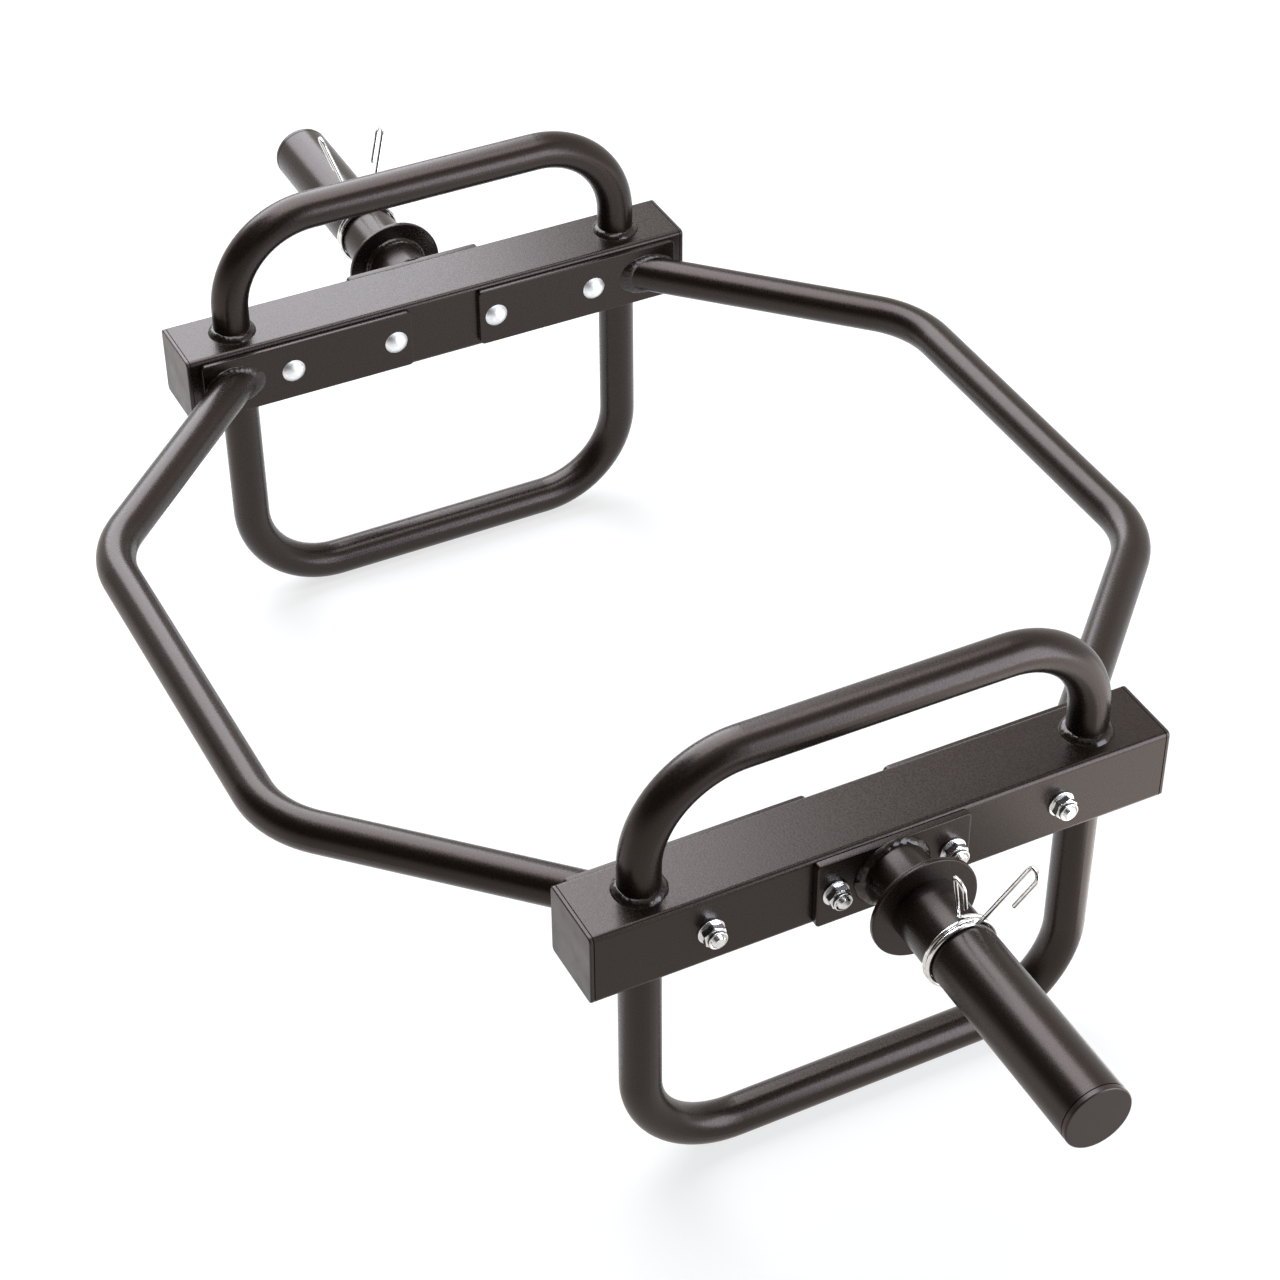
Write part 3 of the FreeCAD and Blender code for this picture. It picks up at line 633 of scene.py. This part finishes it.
@dataclass
class Fasteners:
    """Carriage bolts, washers and lock nuts through one beam."""

    places: tuple[float, ...] = (-138.0, -46.0, 46.0, 138.0)
    head_face: float = 337.0
    beam_face: float = 402.0
    plate_face: float = 408.0
    head_radius: float = 10.0
    head_height: float = 5.0
    dome_start: float = 178.6
    dome_share: float = 0.965
    dome_steps: int = 22
    plate_reach: float = 60.0
    shank_radius: float = 4.9
    shank_sides: int = 48
    thread_pitch: float = 1.5
    thread_depth: float = 0.7
    thread_lead: float = 2.5
    thread_steps: int = 40
    groove_slope: float = 2.6
    show: float = 2.2
    tip: float = 1.3
    washer_radius: float = 10.25
    washer_bore: float = 5.3
    washer_thickness: float = 1.8
    washer_edge: float = 0.45
    flats: float = 16.0
    hexagon: float = 6.6
    corner_cut: float = 1.13
    crown_radius: float = 7.3
    crown_edge: float = 0.75
    recess: float = 2.0
    nut_height: float = 10.0
    nut_sides: int = 96
    nut_turns: tuple[float, ...] = (38.0, 52.0, 30.0, 16.0)

    def seat(self, y: float) -> float:
        """Returns the X of the face that a bolt's washer lies on."""
        return self.plate_face if abs(y) < self.plate_reach else self.beam_face

    def bolt(self, draft: Draft, y: float) -> None:
        """Adds a bolt: domed head, shank and threaded end.

        Args:
            draft: Mesh to add to.
            y: Place along the beam.
        """
        half, head = self.head_radius, self.head_height
        ball = (half * half + head * head) / (2 * head)
        top = math.degrees(math.asin(half / ball))
        dome = rounded_corner((ball - head, 0.0), ball, self.dome_start, 180 - top * self.dome_share, self.dome_steps)
        rings = turned([*dome, (-0.18, half - 0.04), (0.0, half - 0.2), (0.0, self.shank_radius)])
        draft.skin(rings, along_x(self.head_face, y), marks=[[(1.0, 1.0, 1.0)] * len(ring) for ring in rings])
        nut_top = self.seat(y) + self.washer_thickness + self.nut_height
        end = nut_top + self.show - self.head_face
        start = end - self.show - self.thread_lead
        steps = self.thread_steps
        stations = [0.0, start] + [start + (end - start) * step / steps for step in range(1, steps + 1)]
        rings = [ring_about_x(x, lambda angle, x=x: self.thread_radius(x, angle, start, end), self.shank_sides)
                 for x in stations]
        draft.skin(rings, along_x(self.head_face, y))

    def thread_radius(self, x: float, angle: float, start: float, end: float) -> float:
        """Radius of a bolt at its thread's crest, flank or root, or at the bevel of its tip.

        Args:
            x: Place along the bolt.
            angle: Angle round it.
            start: Place where the thread starts.
            end: Place where the bolt ends.

        Returns:
            The radius.
        """
        phase = (x / self.thread_pitch - angle / math.tau) % 1.0
        groove = max(0.0, 1.0 - abs(phase - 0.5) * self.groove_slope) if x > start else 0.0
        return self.shank_radius - max(self.thread_depth * groove, x - (end - self.tip), 0.0)

    def washer(self, draft: Draft, y: float) -> None:
        """Adds a washer with a rolled outer edge.

        Args:
            draft: Mesh to add to.
            y: Place along the beam.
        """
        edge, rim, thick = self.washer_edge, self.washer_radius, self.washer_thickness
        profile = [(0.0, self.washer_bore), (0.0, rim - edge), *rounded_corner((edge, rim - edge), edge, 180, 90),
                   *rounded_corner((thick - edge, rim - edge), edge, 90, 0), (thick, rim - 2 * edge),
                   (thick, self.washer_bore)]
        draft.skin(turned(profile), along_x(self.seat(y), y), closed=True)

    def nut(self, draft: Draft, y: float, turn: float) -> None:
        """Adds a lock nut: a bevelled hexagon and a rolled crown.

        Args:
            draft: Mesh to add to.
            y: Place along the beam.
            turn: Degrees that the hexagon is turned.
        """
        # Places along the hexagon, and the cone that cuts it there in halves of the width over flats.
        bevels = ((0.0, 0.97), (0.2, 1.03), (0.5, 1.1), (0.8, 1.2), (self.hexagon - 0.9, 1.2),
                  (self.hexagon - 0.6, 1.1), (self.hexagon - 0.25, 1.04), (self.hexagon, 0.98))
        rings = [ring_about_x(x, lambda angle, cone=cone: self.nut_radius(angle - math.radians(turn), cone),
                              self.nut_sides) for x, cone in bevels]
        crown, height, edge = self.crown_radius, self.nut_height, self.crown_edge
        bore, floor = self.shank_radius + 0.05, self.nut_height - self.recess
        profile = [(self.hexagon + 0.02, crown - 0.3), (self.hexagon + 0.35, crown - 0.05),
                   (height - 1.4, crown), *rounded_corner((height - edge, crown - edge), edge, 90, 0, 6),
                   (height - 0.15, crown - 1.05), (floor, crown - 1.15), (floor, bore), (0.0, bore)]
        rings += turned(profile, self.nut_sides)
        draft.skin(rings, along_x(self.seat(y) + self.washer_thickness, y), closed=True)

    def nut_radius(self, angle: float, cone: float) -> float:
        """Returns the least of a hexagon, its rounded corner and the cone that cuts it."""
        within = angle % (math.pi / 3) - math.pi / 6
        return self.flats / 2 * min(1 / math.cos(within), self.corner_cut, cone)

    def build(self, end: End, finishes: Finishes) -> None:
        """Builds the bolts, washers and nuts of one end.

        Args:
            end: End of the bar.
            finishes: Made finishes.
        """
        bolts, washers, nuts = Draft(end.turn), Draft(end.turn), Draft(end.turn)
        for y, turn in zip(self.places, self.nut_turns):
            self.bolt(bolts, y)
            self.washer(washers, y)
            self.nut(nuts, y, turn)
        for draft, name, crease in ((bolts, "carriage_bolts", 32.0), (washers, "washers", 50.0),
                                    (nuts, "lock_nuts", 24.0)):
            draft.piece(f"{end.title}_{name}", "plated", Slot.ZINC, finishes, crease=crease,
                        attribute=ZincPlate().dull_mark)


@dataclass
class Bead:
    """Weld bead round a tube that leaves a face towards its own Z."""

    radius: float
    leg: float
    seed: float
    lean: float = 0.0
    fuller: float = 0.0
    fuller_side: float = 0.0
    pitch: float = 4.3
    ripple: float = 0.14
    wander: float = 0.1
    sink: float = 0.35
    crown: float = 0.72
    ripple_steps: int = 9
    arch_steps: int = 10
    chevron: float = 0.55
    jitter: float = 0.16
    fuller_rise: float = 0.7
    # Count round the tube, share and lag of each wave in which the bead wanders.
    waves: tuple[Point, ...] = ((3.0, 1.0, 1.0), (7.0, 0.7, 2.3), (13.0, 0.5, 4.1))

    def rings(self) -> list[Ring]:
        """Lays the bead's sections round the tube.

        Returns:
            The sections in order.
        """
        girth = math.pi * self.radius * (1 + 1 / math.cos(math.radians(self.lean)))
        ripples = round(girth / self.pitch)
        steps = ripples * self.ripple_steps
        return [self.section(math.tau * step / steps, ripples) for step in range(steps)]

    def section(self, angle: float, ripples: int) -> Ring:
        """Cross-section of the bead at an angle round its tube.

        Args:
            angle: Angle round the tube.
            ripples: Ripples in the whole bead.

        Returns:
            The closed section.
        """
        slope = math.radians(self.lean)
        tube = Vector((math.sin(slope), 0.0, math.cos(slope)))
        long_radius = self.radius / math.cos(slope)
        root = Vector((long_radius * math.cos(angle), self.radius * math.sin(angle), 0.0))
        out = Vector((math.cos(angle) / long_radius, math.sin(angle) / self.radius, 0.0)).normalized()
        swing = sum(share * math.sin(count * angle + lag * self.seed) for count, share, lag in self.waves)
        drift = self.wander * swing / sum(share for _, share, _ in self.waves)
        fuller = self.fuller * max(0.0, math.cos(angle - math.radians(self.fuller_side))) ** 2
        low = root + out * (self.leg * (1.0 + drift) + fuller)
        high = root + tube * (self.leg * (1.0 - drift) + fuller * self.fuller_rise)
        middle = root + (out + tube) * (self.leg + fuller) * self.crown
        away = (out + tube).normalized()
        ring = [root - (out + tube) * self.sink, low - tube * self.sink]
        for step in range(self.arch_steps + 1):
            t = step / self.arch_steps
            point = low * (1 - t) ** 2 + middle * 2 * t * (1 - t) + high * t * t
            phase = (ripples * angle / math.tau + self.chevron * (2 * t - 1) ** 2
                     + self.jitter * math.sin(5 * angle + 3 * self.seed)) % 1.0
            lift = -0.5 * math.cos(math.tau * phase ** 1.5)
            ring.append(point + away * (self.ripple * lift * math.sin(math.pi * t) ** 0.6))
        return [*ring, high - out * self.sink]


@dataclass
class WeldBeads:
    """Rippled beads where tubes meet beams, plates and the disc."""

    tube_radius: float = 15.25
    foot_leg: float = 4.5
    foot_reach: float = 176.0
    foot_x: float = 372.0
    beam_half: float = 30.0
    rail_leg: float = 3.5
    rail_lean: float = 45.0
    rail_foot: float = 190.5
    rail_plate_face: float = 337.0
    sleeve_radius: float = 25.0
    root_leg: float = 4.0
    root_x: float = 408.0
    disc_leg: float = 3.5
    disc_x: float = 445.5
    crease: float = 60.0

    def build_end(self, end: End, finishes: Finishes) -> None:
        """Builds one end's beads: round the feet of its handle and loop, at its sleeve's root, behind its disc.

        Args:
            end: End of the bar.
            finishes: Made finishes.
        """
        draft = Draft(end.turn)
        for number, (up, sign) in enumerate(((1, 1), (1, -1), (-1, 1), (-1, -1))):
            flip = Matrix.Rotation(0.0 if up > 0 else math.pi, 4, "X")
            spot = Matrix.Translation((self.foot_x, self.foot_reach * sign, BEAM_CENTRE_Z + self.beam_half * up))
            bead = Bead(self.tube_radius, self.foot_leg, seed=1.0 + 2.7 * number + end.value)
            draft.skin(bead.rings(), spot @ flip, closed=True)
        draft.piece(f"{end.title}_foot_welds", "rippled", Slot.BEAD, finishes, crease=self.crease)
        draft = Draft(end.turn)
        outwards = Matrix.Rotation(math.pi / 2, 4, "Y")
        inwards = Matrix.Rotation(-math.pi / 2, 4, "Y")
        root = Bead(self.sleeve_radius, self.root_leg, seed=5.3 + end.value, fuller=2.4, fuller_side=270.0,
                    pitch=6.6, ripple=0.24, wander=0.13)
        draft.skin(root.rings(), along_x(self.root_x) @ outwards, closed=True)
        behind = Bead(self.sleeve_radius, self.disc_leg, seed=8.9 + end.value)
        draft.skin(behind.rings(), along_x(self.disc_x) @ inwards, closed=True)
        draft.piece(f"{end.title}_sleeve_welds", "rippled", Slot.BEAD, finishes, crease=self.crease)

    def build_rail(self, flank: str, world_sign: int, finishes: Finishes) -> None:
        """Builds the beads where both ends of one rail meet their plates.

        Args:
            flank: Side of the bar that the rail runs along.
            world_sign: Sign of that side's Y.
            finishes: Made finishes.
        """
        draft = Draft(Matrix.Identity(4))
        for end in End:
            sign = world_sign if end is End.RIGHT else -world_sign
            axes = Matrix(((0, 0, -1, 0), (sign, 0, 0, 0), (0, -sign, 0, 0), (0, 0, 0, 1)))
            spot = along_x(self.rail_plate_face, self.rail_foot * sign) @ axes
            bead = Bead(self.tube_radius, self.rail_leg, seed=3.1 + world_sign + end.value, lean=self.rail_lean,
                        fuller=2.6, fuller_side=180.0)
            draft.skin(bead.rings(), end.turn @ spot, closed=True)
        draft.piece(f"{flank}_rail_welds", "rippled", Slot.BEAD, finishes, crease=self.crease)


@dataclass(frozen=True)
class HairpinArm:
    """One arm of a spring clip: a straight wire that turns back at its tip."""

    sign: int
    x: float
    rise: float
    lean: float
    spread: float


@dataclass
class SpringClip:
    """Wire clip: two turns round the sleeve and a hairpin arm at each end."""

    body: Body
    end: End
    centre_x: float
    spin: float = 0.0
    wire_radius: float = 1.6
    broken_edge: float = 0.25
    coil_radius: float = 26.95
    pitch: float = 4.0
    turns: int = 2
    top: float = 9.8
    foot: float = 12.4
    knee: float = 8.0
    hairpin: float = 10.7
    back: float = 27.0
    arm_steps: int = 36
    hairpin_steps: int = 24
    back_steps: int = 18
    turn_steps: int = 120
    sides: int = 24
    crease: float = 50.0
    mark_round: float = 9.0
    mark_along: float = 0.02
    short: HairpinArm = HairpinArm(1, x=4.0, rise=55.5, lean=19.3, spread=21.0)
    long: HairpinArm = HairpinArm(-1, x=-4.0, rise=59.5, lean=18.2, spread=18.0)

    def coil_point(self, degrees: float, x: float) -> Vector:
        """Returns a point of the coil's centre line, at degrees from upright towards Y."""
        angle = math.radians(degrees)
        return Vector((x, self.coil_radius * math.sin(angle), self.coil_radius * math.cos(angle)))

    def coil_way(self, degrees: float) -> Vector:
        """Returns the direction along the coil as its angle falls."""
        angle, rise = math.radians(degrees), self.pitch / math.tau
        return -Vector((rise, self.coil_radius * math.cos(angle), -self.coil_radius * math.sin(angle))).normalized()

    def bent(self, start: Vector, way: Vector, stop: Vector, stop_way: Vector) -> list[Vector]:
        """Two arcs that join two points and keep a direction at each.

        Args:
            start: First point.
            way: Direction there.
            stop: Last point.
            stop_way: Direction there.

        Returns:
            Points along both arcs, the last one left out.
        """
        span = stop - start
        bend = 1.0 - way.dot(stop_way)
        pull = span.dot(way + stop_way)
        reach = (math.sqrt(pull * pull + 2 * bend * span.dot(span)) - pull) / (2 * bend)
        joint = (start + stop + (way - stop_way) * reach) / 2
        return self.arc(start, way, joint)[:-1] + self.arc(stop, -stop_way, joint)[:0:-1]

    def arc(self, start: Vector, way: Vector, stop: Vector, steps: int = 14) -> list[Vector]:
        """Points of the arc that leaves a point along a direction and ends at another.

        Args:
            start: First point.
            way: Direction there.
            stop: Last point.
            steps: Spans along the arc.

        Returns:
            The points, both ends included.
        """
        chord = stop - start
        reach = chord.length_squared / (2 * chord.dot(way))
        corner = start + way * reach
        weight, points = chord.length / 2 / reach, []
        for step in range(steps + 1):
            t = step / steps
            parts = ((1 - t) ** 2, 2 * t * (1 - t) * weight, t * t)
            points.append((start * parts[0] + corner * parts[1] + stop * parts[2]) / sum(parts))
        return points

    def arm_line(self, arm: HairpinArm) -> tuple[list[Vector], Vector]:
        """Centre line of an arm from its knee to its free end.

        Args:
            arm: Arm to follow.

        Returns:
            The points and the direction in which the arm rises.
        """
        foot = self.coil_point(self.top + arm.sign * self.foot, arm.x)
        reach = Vector((arm.lean, arm.sign * arm.spread, arm.rise))
        along = reach.normalized()
        sideways = Vector((1.0, 0.0, 0.0))
        across = (sideways - along * sideways.dot(along)).normalized()
        knee, tip, half = foot + along * self.knee, foot + reach, self.hairpin / 2
        centre = tip + across * half
        line = [knee.lerp(tip, step / self.arm_steps) for step in range(self.arm_steps)]
        for step in range(self.hairpin_steps + 1):
            angle = math.pi * step / self.hairpin_steps
            line.append(centre - across * half * math.cos(angle) + along * half * math.sin(angle))
        last = self.back_steps
        line += [centre + across * half - along * self.back * step / last for step in range(1, last + 1)]
        return line, along

    def centre_line(self) -> list[Vector]:
        """Follows the whole wire from one free end to the other.

        Returns:
            The points of its centre line.
        """
        short, short_way = self.arm_line(self.short)
        long, long_way = self.arm_line(self.long)
        first = self.pitch * self.turns / 2
        line = list(reversed(short))[:-1]
        line += self.bent(short[0], -short_way, self.coil_point(self.top, first), self.coil_way(self.top))
        steps = self.turns * self.turn_steps
        for step in range(steps):
            degrees = self.top - 360.0 * self.turns * step / steps
            line.append(self.coil_point(degrees, first - self.pitch * self.turns * step / steps))
        line += self.bent(self.coil_point(self.top, -first), self.coil_way(self.top), long[0], long_way)
        return line + long

    def build(self, finishes: Finishes) -> None:
        """Builds the clip as one swept wire with lightly broken ends.

        Args:
            finishes: Made finishes.
        """
        line = self.centre_line()
        first = line[0] + (line[1] - line[0]).normalized() * self.broken_edge
        last = line[-1] + (line[-2] - line[-1]).normalized() * self.broken_edge
        line = [line[0], first, *line[1:-1], last, line[-1]]
        ways = [(after - before).normalized()
                for before, after in zip([line[0], *line[:-1]], [*line[1:], line[-1]])]
        angles = [math.tau * step / self.sides for step in range(self.sides)]
        side = ways[0].orthogonal().normalized()
        rings, marks, travel = [], [], 0.0
        for number, (point, way) in enumerate(zip(line, ways)):
            travel += (point - line[max(number - 1, 0)]).length
            side = (side - way * side.dot(way)).normalized()
            other = way.cross(side)
            radius = self.wire_radius - (self.broken_edge if number in (0, len(line) - 1) else 0.0)
            rings.append([point + (side * math.cos(a) + other * math.sin(a)) * radius for a in angles])
            marks.append([(math.cos(a) * self.mark_round, math.sin(a) * self.mark_round, travel * self.mark_along)
                          for a in angles])
        draft = Draft(self.end.turn)
        place = along_x(self.centre_x) @ Matrix.Rotation(math.radians(self.spin), 4, "X")
        draft.skin(rings, place, marks=marks)
        draft.piece(f"{self.end.title}_spring_clip", "wire", Slot.WIRE, finishes, self.body, self.crease,
                    SpringWire().attribute)


# Studio, in metres and degrees.

@dataclass(frozen=True)
class Softbox:
    """Rectangular soft light that faces a point."""

    name: str
    place: Point
    sizes: Pair
    radiance: float
    colour: Colour
    target: Point = (0.0, 0.0, 0.25)

    def hang(self) -> None:
        """Makes the light and turns it to its target."""
        lamp = bpy.data.lights.new(self.name, "AREA")
        lamp.shape = "RECTANGLE"
        lamp.size, lamp.size_y = self.sizes
        lamp.energy = self.radiance * math.pi * self.sizes[0] * self.sizes[1]
        lamp.color = self.colour
        item = bpy.data.objects.new(self.name, lamp)
        item.location = self.place
        item.rotation_mode = "QUATERNION"
        item.rotation_quaternion = (item.location - Vector(self.target)).to_track_quat("Z", "Y")
        item.visible_camera = False
        bpy.context.scene.collection.objects.link(item)


@dataclass(frozen=True)
class Screen:
    """Part of a dome round the object that only mirrors see."""

    name: str
    azimuths: Pair
    elevations: Pair
    level: float
    reach: float = 5.0
    rows: int = 10
    columns: int = 24

    def shape(self) -> tuple[list[Point], Faces]:
        """Points and faces of the screen, row by row.

        Returns:
            The points in metres, and the faces over them.
        """
        (left, right), (low, high) = self.azimuths, self.elevations
        points, width = [], self.columns + 1
        for row in range(self.rows + 1):
            e = math.radians(low + (high - low) * row / self.rows)
            for column in range(width):
                a = math.radians(left + (right - left) * column / self.columns)
                points.append((self.reach * math.sin(a) * math.cos(e), -self.reach * math.cos(a) * math.cos(e),
                               self.reach * math.sin(e)))
        firsts = [row * width + column for row in range(self.rows) for column in range(self.columns)]
        return points, [(first, first + 1, first + width + 1, first + width) for first in firsts]


@dataclass(frozen=True)
class Card:
    """Sheet on the floor that only mirrors see."""

    name: str
    low: Pair
    high: Pair
    level: float
    height: float = 0.0008

    def shape(self) -> tuple[list[Point], Faces]:
        """Returns the four corners in metres, and the face over them."""
        (x0, y0), (x1, y1) = self.low, self.high
        return [(x, y, self.height) for x, y in ((x0, y0), (x1, y0), (x1, y1), (x0, y1))], [(0, 1, 2, 3)]


@dataclass(frozen=True)
class PhotographCamera:
    """Camera at the photograph's place, fitted to the part's own edges."""

    target: Point = (0.13629, -0.00289, 0.19)
    distance: float = 2.30958
    azimuth: float = 61.89
    elevation: float = 40.4
    roll: float = -0.64
    focal_pixels: float = 3074.64
    picture_pixels: float = 1280.0
    shift: Pair = (-0.05, 0.05)
    sensor: float = 36.0

    def stand(self) -> None:
        """Makes the camera and sets it as the scene's."""
        a, e, r = (math.radians(v) for v in (self.azimuth, self.elevation, self.roll))
        ahead = Vector((-math.sin(a) * math.cos(e), math.cos(a) * math.cos(e), -math.sin(e)))
        right = Vector((math.cos(a), math.sin(a), 0.0))
        down = ahead.cross(right)
        right, down = right * math.cos(r) + down * math.sin(r), down * math.cos(r) - right * math.sin(r)
        lens = bpy.data.cameras.new("photograph_camera")
        lens.sensor_width = self.sensor
        lens.lens = self.focal_pixels / self.picture_pixels * self.sensor
        lens.shift_x, lens.shift_y = self.shift
        lens.clip_start, lens.clip_end = 0.01, 100.0
        item = bpy.data.objects.new("photograph_camera", lens)
        axes = Matrix((right, -down, -ahead)).transposed().to_4x4()
        item.matrix_world = Matrix.Translation(Vector(self.target) - ahead * self.distance) @ axes
        bpy.context.scene.collection.objects.link(item)
        bpy.context.scene.camera = item


@dataclass
class Studio:
    """White floor, soft lights, screens that shape the reflections, and the camera."""

    floor_half: float = 60.0
    floor_colour: Colour = (0.34, 0.333, 0.318)
    floor_lift: float = 0.7
    fill: float = 0.16
    lights: tuple[Softbox, ...] = (
        Softbox("back_softbox", (-1.25, -0.03, 1.55), (1.42, 2.2), 5.4, (0.94, 1.0, 1.1)),
        Softbox("side_softbox", (1.22, 0.7, 0.55), (0.7, 0.95), 5.4, (0.9, 0.98, 1.16)),
        Softbox("top_softbox", (-0.05, 0.1, 2.3), (0.9, 1.75), 4.2, (0.96, 1.0, 1.08), (-0.05, 0.0, 0.25)),
    )
    screens: tuple[Screen, ...] = (
        Screen("low_screen", (-48.0, 75.0), (0.5, 12.0), 0.45),
        Screen("dark_screen", (-48.0, 102.0), (12.0, 46.0), 0.06),
        Screen("low_side_screen", (75.0, 102.0), (0.5, 12.0), 0.1),
        Screen("upper_dark_screen", (-48.0, 40.0), (46.0, 65.0), 0.05),
        Screen("upper_screen", (40.0, 165.0), (46.0, 66.0), 0.45),
        Screen("grey_screen", (150.0, 312.0), (0.5, 28.0), 0.95),
        Screen("upper_grey_screen", (165.0, 312.0), (28.0, 80.0), 0.75),
    )
    screen_tint: Colour = (1.0, 0.95, 0.91)
    cards: tuple[Card, ...] = (
        Card("dim_card", (0.3, -3.0), (3.5, 0.24), 0.8),
        Card("bright_card", (0.3, 0.26), (2.5, 2.5), 2.2),
        Card("front_card", (-2.5, -3.0), (0.28, -0.34), 1.08),
    )

    def background(self) -> None:
        """Makes the world: white where it is seen or mirrored, a soft fill elsewhere."""
        world = bpy.data.worlds.new("white_room")
        world.use_nodes = True
        tree = world.node_tree
        tree.nodes.clear()
        seen = self.seen_directly(tree)
        colour = tree.nodes.new("ShaderNodeMix")
        colour.data_type = "RGBA"
        # The mix node keeps its two colours at places 6 and 7, and its mixed colour at 2.
        colour.inputs[6].default_value = (self.fill, self.fill, self.fill, 1.0)
        colour.inputs[7].default_value = (1.0, 1.0, 1.0, 1.0)
        tree.links.new(seen, colour.inputs["Factor"])
        shader = tree.nodes.new("ShaderNodeBackground")
        tree.links.new(colour.outputs[2], shader.inputs["Color"])
        output = tree.nodes.new("ShaderNodeOutputWorld")
        tree.links.new(shader.outputs["Background"], output.inputs["Surface"])
        bpy.context.scene.world = world

    def seen_directly(self, tree: bpy.types.NodeTree) -> Socket:
        """Adds a factor that is one for camera, glossy and transmission rays.

        Args:
            tree: Node tree to add to.

        Returns:
            The factor.
        """
        path = tree.nodes.new("ShaderNodeLightPath")
        total = path.outputs["Is Camera Ray"]
        for name in ("Is Glossy Ray", "Is Transmission Ray"):
            larger = tree.nodes.new("ShaderNodeMath")
            larger.operation = "MAXIMUM"
            tree.links.new(total, larger.inputs[0])
            tree.links.new(path.outputs[name], larger.inputs[1])
            total = larger.outputs[0]
        return total

    def floor(self) -> None:
        """Makes the pale floor, which keeps the object's shadow."""
        wiring = Wiring("pale_floor", Base_Color=self.floor_colour, Roughness=0.9, Specular_IOR_Level=0.0,
                        Emission_Color=(1.0, 1.0, 1.0))
        lift = wiring.add("ShaderNodeMath")
        lift.operation = "MULTIPLY"
        lift.inputs[1].default_value = self.floor_lift
        wiring.join(self.seen_directly(wiring.tree), lift.inputs[0])
        wiring.drive("Emission Strength", lift.outputs[0])
        half = self.floor_half
        self.sheet("floor", [(-half, -half, 0.0), (half, -half, 0.0), (half, half, 0.0), (-half, half, 0.0)],
                   [(0, 1, 2, 3)], wiring.material)

    def mirrored_sheet(self, source: Card | Screen) -> None:
        """Makes a glowing stage object that only mirrors see.

        Args:
            source: Card or screen to make.
        """
        wiring = Wiring(source.name, Base_Color=(0.0, 0.0, 0.0), Roughness=1.0, Specular_IOR_Level=0.0,
                        Emission_Color=self.screen_tint, Emission_Strength=source.level)
        item = self.sheet(source.name, *source.shape(), wiring.material)
        for ray in ("camera", "diffuse", "shadow", "transmission", "volume_scatter"):
            setattr(item, f"visible_{ray}", False)

    def sheet(self, name: str, points: list[Point], faces: Faces, material: Material) -> bpy.types.Object:
        """Makes a stage object.

        Args:
            name: Name of the object.
            points: Points in metres.
            faces: Faces over them.
            material: Material of the object.

        Returns:
            The object.
        """
        mesh = bpy.data.meshes.new(name)
        mesh.from_pydata(points, [], faces)
        mesh.materials.append(material)
        item = bpy.data.objects.new(name, mesh)
        bpy.context.scene.collection.objects.link(item)
        return item

    def build(self) -> None:
        """Builds the whole studio."""
        bpy.context.scene.view_settings.view_transform = "Standard"
        self.background()
        self.floor()
        for source in (*self.cards, *self.screens):
            self.mirrored_sheet(source)
        for light in self.lights:
            light.hang()
        PhotographCamera().stand()
        log.info("studio: %d lights", len(self.lights))


def main() -> None:
    """Builds each sub-assembly in order and reports its pieces."""
    logging.basicConfig(level=logging.INFO, format="%(name)s %(message)s")
    finishes = Finishes()
    CoatedFrame().dress(finishes)
    plates, fasteners, beads = FlatPlates(), Fasteners(), WeldBeads()
    for end in End:
        plates.build(end, finishes)
        fasteners.build(end, finishes)
        beads.build_end(end, finishes)
    for flank, sign in (("front", 1), ("rear", -1)):
        beads.build_rail(flank, sign, finishes)
    SpringClip(Body.RIGHT_CLIP, End.RIGHT, 495.0).build(finishes)
    SpringClip(Body.LEFT_CLIP, End.LEFT, 506.8, 4.2).build(finishes)
    Studio().build()


if __name__ == "__main__":
    main()
